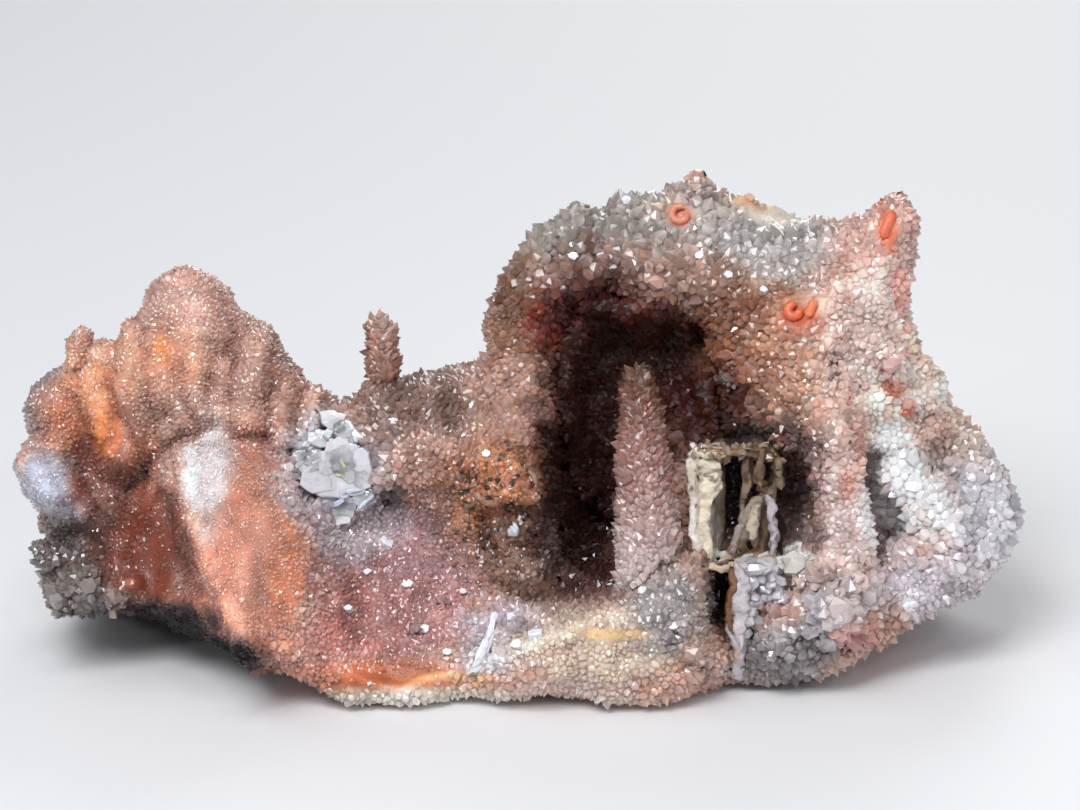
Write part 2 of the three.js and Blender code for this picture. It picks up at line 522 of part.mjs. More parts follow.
// Stands a shape, which rises along +Y from its origin, at a place on the face and leans it towards a
// direction.
function stood(geometry, at, towards) {
  const lean = new THREE.Quaternion().setFromUnitVectors(
    new THREE.Vector3(0, 1, 0), new THREE.Vector3(...towards).transformDirection(faceToRow));
  return geometry.applyQuaternion(lean).translate(...new THREE.Vector3(...at).applyMatrix4(faceToRow));
}

// A studded column that tapers from foot to tip.
function stalactite({ foot, tip, radius, rings, sides }, seed) {
  const span = tip.map((t, i) => t - foot[i]);
  const length = Math.hypot(...span);
  const profile = [new THREE.Vector2()];
  for (let ring = 0; ring < rings; ring++) {
    const share = ring / rings;
    const thickness = THREE.MathUtils.lerp(...radius, share) * Math.sqrt(1 - share ** 10);
    profile.push(new THREE.Vector2(thickness, share * length));
  }
  profile.push(new THREE.Vector2(0, length));
  const lathe = new THREE.LatheGeometry(profile, sides);
  lathe.deleteAttribute('normal');
  lathe.deleteAttribute('uv');
  return solidOf(stood(withPoints(mergeVertices(lathe, 1e-3), () => COLUMN_POINT_HEIGHT, seed), foot, span));
}

// A thin wall with a ragged outline.
function plate({ at, turns, outline }) {
  const shape = new THREE.Shape(outline.map(([s, t]) => new THREE.Vector2(s, t)));
  const wall = new THREE.ExtrudeGeometry(shape, { depth: CAST_WALL, bevelEnabled: false, steps: 1 });
  const turned = new THREE.Euler(...turns.map(THREE.MathUtils.degToRad), 'YXZ');
  const placed = new THREE.Matrix4().makeRotationFromEuler(turned).setPosition(...at);
  return solidOf(wall.translate(0, 0, -CAST_WALL / 2).applyMatrix4(placed).applyMatrix4(faceToRow));
}

// A six-sided crystal: its prism, the faces that slope in from it and an end face of cap times its radius.
function crystal({ at, towards, radius, length, cap }) {
  const tip = length + (1 - cap) * radius;
  const profile = [[0, -1], [radius, -1], [radius * 0.95, length], [radius * cap, tip], [0, tip]];
  const lathe = new THREE.LatheGeometry(profile.map(([r, y]) => new THREE.Vector2(r, y)), 6);
  return solidOf(stood(lathe, at, towards));
}

// ---------------------------------------------------------------- assembly

const skin = withPoints(skinOf(bodyDistance, BODY_LOW, BODY_HIGH, CELL), pointHeight, 11);
const underground = solidOf(new THREE.BoxGeometry(200, 120, 40).translate(0, 0, -20));
const body = joined([solidOf(skin), ...SINGLE_CRYSTALS.map(crystal)]).subtract(underground);

// What the pieces on the body are cut back by: the body, grown by the clearance.
const grownSkin = movedOut(skin, new Float32Array(skin.attributes.position.count).fill(CLEARANCE));
const seats = joined([solidOf(grownSkin), underground]);

const isInCave = (place) => ellipsoidDistance(toFace(place), CRUSTED) < 0;
const crust = solidOf(crustOn(skin, isInCave, CRUST_THICKNESS, CRUST_POINT_HEIGHT, 12));
const cluster = joined(CLUSTER_CRYSTALS.map(crystal));

const chalcedony = new THREE.MeshStandardMaterial({ color: 0xc98f78, roughness: 0.4, metalness: 0 });
const caveCrystals = new THREE.MeshStandardMaterial({ color: 0x8a4a3a, roughness: 0.3, metalness: 0 });
const pinkDruse = new THREE.MeshStandardMaterial({ color: 0xcf9c86, roughness: 0.3, metalness: 0 });
const whiteQuartz = new THREE.MeshStandardMaterial({ color: 0xd9d4c8, roughness: 0.5, metalness: 0 });
const clearQuartz = new THREE.MeshStandardMaterial({ color: 0xc9c9d4, roughness: 0.1, metalness: 0 });

const specimen = new THREE.Group();
const pieces = [
  ['chalcedony_body', body, chalcedony],
  ['cave_druse', crust, caveCrystals],
  ['centre_stalactite', stalactite(CENTRE_STALACTITE, 13).subtract(seats), pinkDruse],
  ['left_stalactite', stalactite(LEFT_STALACTITE, 14).subtract(seats), pinkDruse],
  ['left_finger', stalactite(LEFT_FINGER, 15).subtract(seats), pinkDruse],
  ['crystal_cast', joined(CAST_PLATES.map(plate)).subtract(seats), whiteQuartz],
  ['quartz_cluster', cluster.subtract(seats), clearQuartz],
];
for (const [name, solid, material] of pieces) {
  const mesh = new THREE.Mesh(geometryFrom(solid), material);
  mesh.name = name;
  specimen.add(mesh);
}

export default specimen;
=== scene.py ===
import math
import bpy
import numpy as np
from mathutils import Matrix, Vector, kdtree


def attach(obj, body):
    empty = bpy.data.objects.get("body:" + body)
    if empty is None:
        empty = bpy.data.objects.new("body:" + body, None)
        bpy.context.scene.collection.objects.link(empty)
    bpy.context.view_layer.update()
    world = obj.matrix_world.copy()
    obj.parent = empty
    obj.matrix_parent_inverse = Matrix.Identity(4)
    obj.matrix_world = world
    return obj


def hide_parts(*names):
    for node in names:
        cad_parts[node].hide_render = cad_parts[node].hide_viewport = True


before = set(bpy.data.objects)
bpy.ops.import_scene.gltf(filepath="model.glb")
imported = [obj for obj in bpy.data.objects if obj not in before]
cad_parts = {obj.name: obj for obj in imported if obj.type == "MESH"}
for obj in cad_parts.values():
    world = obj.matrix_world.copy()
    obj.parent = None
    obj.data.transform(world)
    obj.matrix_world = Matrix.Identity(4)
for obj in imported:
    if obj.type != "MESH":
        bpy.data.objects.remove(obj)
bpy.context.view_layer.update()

# %% [markdown]
# # A drusy chalcedony specimen
# The specimen is a broken piece of a cavity wall. Chalcedony lines it, small quartz points cover
# nearly all of the chalcedony, stalactites stand in it, and a vanished crystal has left a hollow
# cast. Most places are given on the open face, in millimetres: u runs right, v runs up the face
# and w comes out of it. That way the numbers can be read off a straight view of the face.

# %% The face's own frame
MM = 0.001
FACE_LEAN = math.radians(20)
FACE_ORIGIN = np.array([-0.1, 0.6, 31.5])
U = np.array([1.0, 0.0, 0.0])
V = np.array([0.0, math.sin(FACE_LEAN), math.cos(FACE_LEAN)])
W = np.array([0.0, -math.cos(FACE_LEAN), math.sin(FACE_LEAN)])


def to_face(points):
    """Places in the frame, in mm, given as u, v and w of the face."""
    return (points - FACE_ORIGIN) @ np.array([U, V, W]).T


def from_face(points):
    """The other way round."""
    return np.asarray(points, float) @ np.array([U, V, W]) + FACE_ORIGIN


def unit(vectors):
    """Every vector made 1 long."""
    return vectors / np.maximum(np.linalg.norm(vectors, axis=-1, keepdims=True), 1e-9)


# %% [markdown]
# ## Noise
# Nature's unevenness comes from two kinds of noise: smooth value noise for lumps and colour
# clouds, and cell noise for the grape-like lobes of botryoidal chalcedony. Both are hashed from
# whole numbers, so every run gives the same specimen.

# %% Smooth noise and cell noise


def hashed(cells, seed):
    """A random number from 0 to 1 for every row of whole numbers."""
    h = seed * 2654435761
    for k, prime in enumerate((73856093, 19349663, 83492791)):
        h = h ^ (cells[..., k] * prime)
    h = (h ^ (h >> 13)) * 1274126177 & 0xFFFFFFFF
    h = (h ^ (h >> 16)) * 2246822519 & 0xFFFFFFFF
    return ((h ^ (h >> 15)) & 0xFFFFFF) / 0xFFFFFF


def smooth_noise(points, size, seed=0):
    """Smooth noise from -1 to 1 with features about size mm across."""
    p = points / size
    cell = np.floor(p).astype(np.int64)
    f = p - cell
    f = f * f * f * (f * (f * 6 - 15) + 10)
    total = np.zeros(len(p))
    for corner in np.ndindex(2, 2, 2):
        weight = np.prod(np.where(corner, f, 1 - f), axis=1)
        total += weight * hashed(cell + np.array(corner), seed)
    return total * 2 - 1


def noise_vectors(points, size, seed=0):
    """Smooth noise in all three directions."""
    return np.stack([smooth_noise(points, size, seed + k) for k in range(3)], axis=1)


def lobes(points, size, seed=0):
    """Rounded lobes about size mm across: 1 on each lobe's middle, falling to 0 in the creases."""
    p = points / size
    cell = np.floor(p).astype(np.int64)
    nearest = np.full(len(p), 9.0)
    for step in np.ndindex(3, 3, 3):
        other = cell + np.array(step) - 1
        heart = other + np.stack([hashed(other, seed + k) for k in range(3)], axis=1)
        nearest = np.minimum(nearest, np.linalg.norm(p - heart, axis=1))
    return np.sqrt(np.clip(1 - nearest**2, 0, 1))


def smoothstep(low, high, x):
    """0 below low, 1 above high and a soft step between them."""
    t = np.clip((x - low) / (high - low), 0, 1)
    return t * t * (3 - 2 * t)


# %% [markdown]
# ## Patches
# The face changes from place to place: orange mound, mauve bowl, grey hood, dark cave. Each
# change is a soft ellipse on the face with a ragged edge, and a list of them is read in order,
# the later ones over the earlier. One list gives the colours, others the size of the quartz
# points and where none grow.

# %% Laying soft patches over one another


def patch_weight(face, where, reach, seed=3):
    """1 inside a soft ellipse with a ragged edge, 0 outside it."""
    ragged = 0.26 * smooth_noise(face, 5.0, seed) + 0.16 * smooth_noise(face, 1.8, seed + 1)
    away = np.hypot((face[:, 0] - where[0]) / reach[0], (face[:, 1] - where[1]) / reach[1])
    return 1 - smoothstep(0.55, 1.45, away + ragged)


def laid(face, ground, patches, strength=1.0, seed=3):
    """The ground value with every patch laid over it.

    A patch is its place, its half width and half height in mm, and then its own value.
    """
    value = np.asarray(ground, float) + np.zeros((len(face), 1))
    for patch in patches:
        weight = strength * patch_weight(face, patch[:2], patch[2:4], seed)[:, None]
        value = value * (1 - weight) + np.array(patch[4:], float) * weight
    return value


def laid_over(colour, weight, other):
    """A colour with another one laid over it, as strongly as the weight at each place says."""
    return colour + weight[:, None] * (np.array(other) - colour)


def linear(colours):
    """Colours as the eye counts them, from 0 to 255, made linear as the renderer counts them."""
    c = np.asarray(colours, float) / 255
    return np.where(c <= 0.04045, c / 12.92, ((c + 0.055) / 1.055) ** 2.4)


# %% [markdown]
# ## Small forms of the face
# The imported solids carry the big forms. The fine skin adds the next size down: hanging ribs under
# the left peak, the mound's sharp crest, the pale seam, the milky lobes. Each is a rounded rib
# between two places on the face, with a radius and a rise, and a negative rise cuts a groove.

# %% Ribs, crests and grooves: from, to, radius and rise
RIBS = [
    # the left peak
    (-49.3, 23, -49.3, 14, 4.0, 0.9), (-53, 20, -53.5, 15, 2.0, 0.8),
    # ribs that hang below it
    (-58.5, 15.5, -58.5, 6, 2.0, 1.3), (-63.2, 13, -62.5, 2, 2.4, 1.5),
    (-54.0, 14.5, -53.5, 5, 1.9, 1.3), (-48.8, 13, -47.4, 4, 1.8, 1.2),
    (-44, 10.5, -43.8, 2, 1.7, 1.3), (-39.6, 14, -40.4, 3, 2.1, 1.6), (-35, 8, -35.2, 0, 1.6, 1.7),
    (-31, 6.5, -31.4, 1, 1.4, 1.4),
    # crest of the mound
    (-48.5, -1.5, -47.0, -10.6, 1.6, 1.6), (-47.0, -10.6, -43.5, -20, 1.4, 1.9),
    (-43.5, -20, -37.5, -32, 1.4, 1.8),
    # the flank falls away beside it
    (-51.5, -9, -47.5, -22, 2.4, -1.5),
    # a groove over the mound
    (-59, -7, -52, -0.8, 1.3, -1.6), (-52, -0.8, -45, 1.8, 1.2, -1.6),
    (-45, 1.8, -37.5, 0.2, 1.2, -1.5), (-33.6, -1.5, -31.0, -9, 1.3, -1.4),
    # lip between bowl and rim
    (-30, -33, -18, -36.5, 0.9, 0.7), (-18, -36.5, -6, -33, 0.9, 0.7), (-6, -33, 3, -29.5, 1.0, 0.9),
    (3, -29.5, 16, -24, 1.2, 0.9),
    # grooves beside the right column
    (52.5, -2, 53.5, -18, 1.6, -0.5), (44.6, -2, 44.4, -16, 1.2, -1.2), (53.5, 1.5, 62, 3, 1.6, -1.2),
    # the leaning column
    (58, -5, 64, -14, 2.0, 1.2), (54.5, 3, 60, -3, 1.8, 1.0),
    # the floor of the hollow beside it
    (55.5, 0, 57, -10, 4.0, 2.4),
    # the pale seam
    (47.8, 16, 48, 8, 1.0, 1.0), (48, 8, 46.6, -1.5, 1.1, 1.0),
    # milky lobes
    (-72, -3.5, -68.5, -8, 1.7, 1.4), (-66.5, -7, -66.5, -7, 1.7, 1.2),
    (-70.6, -9.4, -69.4, -10.4, 1.3, 1.1), (-68, -11, -68, -11, 1.8, 1.0),
    (-64.5, -11, -64.5, -11, 1.7, 0.9),
    # lumps at the lower left
    (-67.5, -22, -67.5, -22, 2.0, 1.2), (-63.5, -21, -63.5, -21, 1.9, 1.2),
    (-60, -22.5, -60, -22.5, 1.8, 1.2), (-57.5, -20.8, -57.5, -20.8, 1.3, 1.0),
    # lumps on the saddle
    (-14, 6, -13, 1, 2.4, 1.0), (-7, 7, -6, 2, 2.0, 0.9), (-11, -1, -11, -1, 2.3, 1.0),
    # nodules of the rusty patch
    (-5.5, -2.5, -1.5, -3.5, 1.8, 0.9), (-1, -8, 2, -9, 2.4, 1.0), (-8, -5, -6.5, -8, 1.3, -1.6),
    (-5.5, -12, -5, -15.5, 1.5, -1.8), (1.5, -13.6, 3.4, -14.4, 0.9, -1.0),
    (-1, -17.5, 2, -20, 2.6, 0.9),
    # clear lumps at the lower right
    (45.6, -27.4, 45.6, -25, 3.4, 1.8), (40.4, -18.4, 40.4, -18.4, 2.7, 1.6),
    (37.8, -28.6, 37.8, -28.6, 2.6, 1.3),
    # upper edge of the right rim
    (61.5, 10, 66.5, 2.5, 1.4, 0.8),
    # spine of the horn
    (56, 33, 53, 24, 1.6, 0.8),
]

# %% How far they stand out


def relief(face):
    """How far the face's own small forms stand out at places on it, in mm."""
    wavy = face[:, :2] + 0.6 * noise_vectors(face, 3.5, 81)[:, :2]
    raised, sunk = np.zeros(len(face)), np.zeros(len(face))
    for *ends, radius, rise in RIBS:
        start, end = np.array(ends).reshape(2, 2)
        span = end - start
        along = np.clip((wavy - start) @ span / max(span @ span, 1e-6), 0, 1)
        away = np.linalg.norm(wavy - start - along[:, None] * span, axis=1) / radius
        bulge = rise * np.clip(1 - away**2, 0, 1) ** 0.8
        raised, sunk = np.maximum(raised, bulge), np.minimum(sunk, bulge)
    return raised + sunk


# %% Lumps of druse: place, half sizes and how lumpy
LUMPY = [
    (18, 28, 30, 14, 1.0), (34, 10, 8, 14, 1.0), (56, 0, 20, 36, 1.0), (-14, 2, 12, 8, 0.8),
    (-50, 12, 20, 14, 1.0), (10, -32, 18, 8, 0.7), (-67, -20, 9, 8, 1.2), (-28, -5, 8, 9, 0.8),
    (-63, 2, 9, 10, 0.7), (-69, -7, 6, 5, 1.0), (-16, -20, 14, 12, 0.5), (-2, -10, 8, 9, 0.9),
    (43, -25, 9, 8, 1.3),
]


def lumpiness(points, face):
    """The druse's own lumps, a few millimetres wide, in mm above or below the ground."""
    share = laid(face, [0.35], LUMPY)[:, 0]
    return share * (0.95 * lobes(points, 4.2, 66) + 0.5 * smooth_noise(points, 2.4, 61) - 0.55)


# %% [markdown]
# ## Colour
# Iron stains the chalcedony from cream through salmon to rust. What lies deep is painted darker as
# painted shade, and raised forms are painted lighter as painted light. Shader noise could mottle
# it all alike, but here every form has a colour of its own.
# So the colour is worked out in code for each vertex, from the patches, the small forms and
# noise. The colours are those of the eye, from 0 to 255, and are made linear at the end.

# %% The specimen's colours: place, half sizes, red, green and blue
PINK_DRUSE = (190, 143, 124)
COLOURS = [
    # grey rind on the left edge
    (-72, 8, 3.4, 7, 128, 114, 114),
    # left orange wall
    (-67, 4, 4.6, 6, 226, 142, 104),
    # milky lobes
    (-70, -6.5, 5.5, 4.5, 162, 157, 170), (-65.5, -10.5, 3, 3.4, 166, 158, 168),
    # left hollow; its first patch is darker partly as painted shade in the recess
    (-64, -3.5, 2.6, 8, 150, 92, 80), (-59, 11, 5, 6, 190, 132, 106),
    # orange ridge
    (-62.5, 4.5, 3.2, 6, 204, 126, 88), (-57, -3, 3, 4, 180, 114, 88),
    # columns below the left peak
    (-40, 7, 10, 9, 164, 116, 99), (-49, 21, 8, 6, 200, 146, 130), (-51, 13, 4, 5, 196, 128, 98),
    # lumps at the lower left
    (-67, -22, 9, 5.5, 100, 87, 78), (-69, -15.5, 4, 4, 104, 92, 88), (-59.5, -13, 4, 8, 128, 80, 66),
    # orange mound; its paler right side and whitish top are partly painted light, its darker left flank
    # partly painted shade
    (-40, -16, 10, 14, 210, 131, 104), (-35.5, -17, 5, 9, 226, 153, 128),
    (-54.5, -16, 6.5, 9, 138, 70, 50), (-45.2, -5.0, 3.2, 7, 226, 208, 208),
    (-39, -31, 7, 4, 204, 136, 110),
    # dark crust under the mound, darkened partly as painted shade under its overhang
    (-55, -27.4, 10, 3.2, 26, 20, 22), (-45, -31.6, 9, 3.2, 24, 18, 21),
    # round the clear cluster
    (-27, -5, 7.5, 9, 180, 170, 178),
    # saddle
    (-16, 5, 10, 7, 131, 97, 84),
    # bowl
    (-17, -17, 13, 10, 166, 117, 115), (-24, -27, 8, 5, 181, 112, 101),
    (-14, -26, 8, 4.5, 178, 119, 114), (-24, -13, 6, 5, 176, 156, 160),
    (-20, -12, 4, 4, 186, 164, 170), (-24.5, -25, 1.8, 5, 146, 88, 80),
    (-14.6, -24.6, 1.5, 3.2, 148, 98, 92), (-12, -12, 3, 3, 140, 104, 100),
    (-2, -27, 7, 3.4, 200, 182, 190), (-13, -5, 6, 5, 172, 126, 108),
    # rusty patch
    (-3, -8, 8, 8.5, 178, 112, 75), (1, -16, 6, 7, 121, 86, 67), (5.5, -13, 3, 8, 130, 106, 104),
    # orange band above the front rim
    (-18, -35, 11, 2.4, 198, 105, 62), (-8, -38.5, 26, 2.4, 213, 202, 189),
    (-4, -31, 5, 3.4, 204, 190, 196),
    # hood; the brown at its left end and the tan band under its lip are partly painted shade
    (12, 30, 17, 10, 149, 137, 126), (36, 29, 12, 8, 160, 151, 146),
    (38.5, 34.4, 7.5, 3, 214, 202, 188), (0, 19, 4.5, 10, 126, 84, 58),
    (18, 25, 14, 4.5, 162, 124, 106),
    # cave, its dark colours partly painted shade
    (9, 17, 7.5, 5.5, 146, 44, 22), (18, 15, 10, 6, 78, 28, 17), (11, 0, 8.5, 24, 44, 15, 11),
    (27, 9, 8, 9, 54, 15, 8),
    # right wall; the dark patch at (28, 1) is partly painted shade at the cave's edge, the pale one at
    # (41, -12) partly painted light in the shaded chamber
    (34, 16, 8, 8, 136, 85, 57), (42, 12, 7, 9, 188, 131, 99), (28, 1, 6, 4, 76, 38, 28),
    (37, -1, 8, 3, 70, 48, 42), (41, -12, 7, 10, 198, 158, 146), (39.5, -5.5, 5, 6, 112, 82, 76),
    # chamber round the cast, paler partly as painted light against its shade
    (40.5, -17, 5, 5, 204, 172, 160),
    # front ledge
    (12, -30.5, 13, 6, 212, 184, 162), (22, -24, 6, 6, 146, 136, 133),
    (7, -36.5, 9, 2.6, 204, 176, 162),
    # clear lumps at the lower right
    (45.5, -25, 5, 5, 156, 144, 145), (39, -31, 7, 5, 122, 114, 114),
    # right column
    (48.5, -11, 4, 13, 218, 188, 180),
    # horn
    (54, 29, 7, 10, 210, 160, 146), (54, 17, 10, 9, 234, 200, 188), (60, 12, 3, 8, 230, 186, 158),
    (56, 6, 10, 6, 240, 212, 200), (56, -8, 5, 9, 222, 206, 210),
    # right hollow, nearly white partly as painted light against the shade in its deep groove
    (52.6, -9, 2.2, 9, 238, 220, 218), (61, -9, 3.4, 9, 232, 218, 214), (68, -3, 4, 5, 220, 190, 174),
    # right rim
    (70, -12, 7, 9, 206, 200, 208), (62, -22, 10, 5, 190, 178, 184),
    # red stain
    (50, -28, 4, 2.2, 192, 124, 112),
    # pale seam
    (47.6, 8, 1.2, 9, 194, 152, 138),
    # painted shade: black in the hollows in and behind the cast
    (32, -6, 4.5, 8, 34, 25, 23), (29.5, -22.5, 2.6, 5, 26, 20, 20),
    (-19, -8.4, 1.6, 1.6, 74, 64, 66),
]

# %% Small stains of deeper colour
STAINS = [
    # on the horn
    (54.6, 31.4, 1.4, 3.2, 228, 106, 66), (56.5, 22, 1.6, 3, 222, 140, 128),
    # round the curls
    (23.9, 33.6, 2.0, 2.0, 214, 140, 118), (41.4, 17.2, 3.4, 2.2, 216, 122, 94),
    # below the horn and on the hood's edge
    (55.5, 7.4, 1.6, 1.2, 216, 112, 84), (57.5, 4.5, 1.2, 1.0, 216, 112, 84),
    (36, 35.8, 4, 1.2, 224, 176, 140),
    # below the left peak and on the mound
    (-53, 13.5, 1.4, 1.6, 240, 132, 70), (-61.5, 0.5, 2.2, 3.2, 230, 128, 72),
    (-34, -19, 2.4, 6, 230, 138, 100),
    # along the front rim
    (-28, -33.5, 6, 1.2, 214, 120, 86), (-10, -34.6, 7, 0.9, 232, 178, 132),
    (14, -28, 6, 0.9, 240, 196, 140),
    # on the right column
    (50, 0, 1.4, 5, 208, 142, 128), (48, -7, 1.2, 3, 204, 138, 124),
    # dark dots
    (-55.5, -5.2, 0.7, 0.7, 40, 32, 44), (3.6, 21.4, 0.7, 0.5, 62, 44, 40),
]

# %% Where the crystal-lined face ends and the rind begins


def rind_share(points, normals):
    """1 on the specimen's broken outer side, 0 on its crystal-lined face."""
    face = to_face(points)
    turned = -(normals @ W) + 0.25 * smooth_noise(points, 5, 51)
    return smoothstep(0.05, 0.35, turned) * smoothstep(-6, -12, face[:, 2])


def rind_creases(points):
    """The rind's grape-like lobes in two sizes: 1 on their middles, 0 in the creases."""
    return lobes(points, 7.0, 63), lobes(points, 3.0, 64)


# %% Colouring the surface
PINK_SPOT, RUST_SPECK, RUST = (212, 118, 98), (44, 32, 26), (164, 108, 76)
RIND = np.array([170, 160, 148])
# Where the crust under the mound lies, painted dark partly as shade under the overhang.
CRUST_AND_SHADE_UNDER_MOUND = (-50, -30), (16, 6)


def rind_colours(points, face):
    """Grey chalcedony with rusty clouds; painted shade darkens its creases, and crust and painted shade
    the part under the mound.
    """
    colour = RIND + 26 * smooth_noise(points, 9, 41)[:, None] * np.array([1, 0.9, 0.8])
    rust = smoothstep(-0.4, 0.9, smooth_noise(points, 11, 42) + 0.6 * smooth_noise(points, 3, 43))
    rust *= 0.75 + 0.5 * smooth_noise(points, 1.2, 44)
    big, small = rind_creases(points)
    # Painted shade: darker in the creases between the lobes and, partly, under the mound.
    shade = (0.72 + 0.36 * (0.6 * big + 0.4 * small)) * (1 - 0.8 * patch_weight(face, *CRUST_AND_SHADE_UNDER_MOUND))
    return laid_over(colour * shade[:, None], 0.7 * rust, RUST)


def tint(points, normals):
    """The linear colour of the specimen's surface at points whose outward normals are given."""
    face = to_face(points)
    colour = laid(face, laid(face, PINK_DRUSE, COLOURS), STAINS, 0.85, 11)
    right_side = patch_weight(face, (50, 8), (14, 24))
    spots = smoothstep(0.55, 0.8, smooth_noise(points, 2.2, 21)) * right_side
    colour = laid_over(colour, 0.4 * spots, PINK_SPOT)
    dirty = patch_weight(face, (-2, -11), (9, 10))
    dirty = np.maximum(dirty, 0.8 * patch_weight(face, (37, -1), (8, 5)))
    specks = smoothstep(0.34, 0.5, smooth_noise(points, 0.62, 23)) * dirty
    colour = laid_over(colour, 0.85 * specks, RUST_SPECK)
    cloud = 0.09 * smooth_noise(points, 6, 31) + 0.12 * smooth_noise(points, 1.8, 32)
    # Painted light and shade: raised ribs and lumps are painted lighter, grooves and hollows darker.
    height = np.clip(relief(face), -1.6, 1.6) + lumpiness(points, face)
    colour = colour * (1 + cloud[:, None] + 0.15 * height[:, None] * np.array([0.8, 1.0, 1.05]))
    colour = laid_over(colour, rind_share(points, normals), rind_colours(points, face))
    return linear(np.clip(colour, 2, 250))


# %% [markdown]
# ## Ground surfaces
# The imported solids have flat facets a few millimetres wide. Each is wrapped again in a much finer
# skin, its facets are eased, and the small forms and noise are raised on it. Wrapping keeps the
# place and size of every form, so what is seen stays true to the solid below.

# %% Wrapping a solid in a fine skin


def fine_skin(node, voxel, smoothing):
    """Vertices in mm and quads of a CAD node wrapped in voxels and smoothed."""
    copy = bpy.data.objects.new("wrapped", node.data.copy())
    copy.matrix_world = node.matrix_world
    bpy.context.scene.collection.objects.link(copy)
    remesh = copy.modifiers.new("wrap", "REMESH")
    remesh.mode, remesh.voxel_size = "VOXEL", voxel * MM
    smooth = copy.modifiers.new("ease", "SMOOTH")
    smooth.factor, smooth.iterations = 0.5, smoothing
    ready = copy.evaluated_get(bpy.context.evaluated_depsgraph_get())
    mesh = ready.to_mesh()
    corners = np.empty(len(mesh.vertices) * 3)
    mesh.vertices.foreach_get("co", corners)
    turn, shift = np.array(node.matrix_world.to_3x3()).T, np.array(node.matrix_world.translation)
    points = corners.reshape(-1, 3) @ turn + shift
    loops = np.empty(len(mesh.loops), np.int64)
    mesh.loops.foreach_get("vertex_index", loops)
    quads = loops.reshape(-1, 4)
    ready.to_mesh_clear()
    bpy.data.objects.remove(copy)
    return points / MM, quads


def vertex_normals(points, quads):
    """The outward direction at every vertex."""
    a, b, c, d = (points[quads[:, k]] for k in range(4))
    across = np.cross(c - a, d - b)
    normals = np.zeros_like(points)
    for k in range(4):
        np.add.at(normals, quads[:, k], across)
    return unit(normals)


# %% Making a piece of the specimen
DARKEST, PALEST = 0.003, 0.97  # no crystal takes up all light or gives all of it back


def new_piece(name, points, faces, material, colours, smooth=True, eased=None):
    """A mesh object from vertices in mm and faces, with a colour for each vertex or corner.

    The faces are all triangles or all quads. Where eased gives a direction for each face, its
    shading turns towards that.
    """
    points = np.maximum(points, (-np.inf, -np.inf, 0.0))  # nothing reaches below the floor
    mesh = bpy.data.meshes.new(name)
    sides = faces.shape[1]
    mesh.vertices.add(len(points))
    mesh.vertices.foreach_set("co", (np.asarray(points) * MM).astype(np.float32).ravel())
    mesh.loops.add(faces.size)
    mesh.loops.foreach_set("vertex_index", faces.astype(np.int32).ravel())
    mesh.polygons.add(len(faces))
    mesh.polygons.foreach_set("loop_start", np.arange(0, faces.size, sides, dtype=np.int32))
    mesh.polygons.foreach_set("use_smooth", np.full(len(faces), smooth))
    mesh.update(calc_edges=True)
    if eased is not None:
        a, b, c = (points[faces[:, k]] for k in range(3))
        flat = unit(np.cross(b - a, c - a))
        mesh.normals_split_custom_set(np.repeat(unit(flat + eased), sides, axis=0).tolist())
    domain = "POINT" if len(colours) == len(points) else "CORNER"
    layer = mesh.color_attributes.new("Tint", "FLOAT_COLOR", domain)
    opaque = np.column_stack([colours, np.ones(len(colours))])
    layer.data.foreach_set("color", opaque.astype(np.float32).ravel())
    mesh.materials.append(material)
    piece = bpy.data.objects.new(name, mesh)
    bpy.context.scene.collection.objects.link(piece)
    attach(piece, "root")
    print(name, len(faces) * (sides - 2), "triangles")
    return piece


def joined_piece(name, parts, material, smooth=True):
    """One piece made of many small meshes, each given by its vertices, faces and colours."""
    vertices, faces, colours = zip(*parts)
    starts = np.cumsum([0, *map(len, vertices)])
    faces = np.concatenate([own + start for own, start in zip(faces, starts)])
    colours = np.clip(np.concatenate(colours), DARKEST, PALEST)
    return new_piece(name, np.concatenate(vertices), faces, material, colours, smooth)


# %% [markdown]
# ## Materials
# Chalcedony is waxy and lets light sink in a little way. The quartz points are clearer and
# glassier, and light wanders through them too, so they glow rather than cast hard shade on each
# other. Large clear crystals also let some light straight through. All read the tint that was
# worked out for each vertex, with a fine grain laid over it.

# %% Building the stone and crystal materials
QUARTZ_IOR = 1.54


def linked(tree, kind, sources, **settings):
    """A new shader node with its values set and its inputs linked to other nodes' outputs."""
    node = tree.nodes.new(kind)
    for socket, value in settings.items():
        node.inputs[socket.replace("_", " ")].default_value = value
    for socket, output in sources.items():
        tree.links.new(output, node.inputs[socket])
    return node


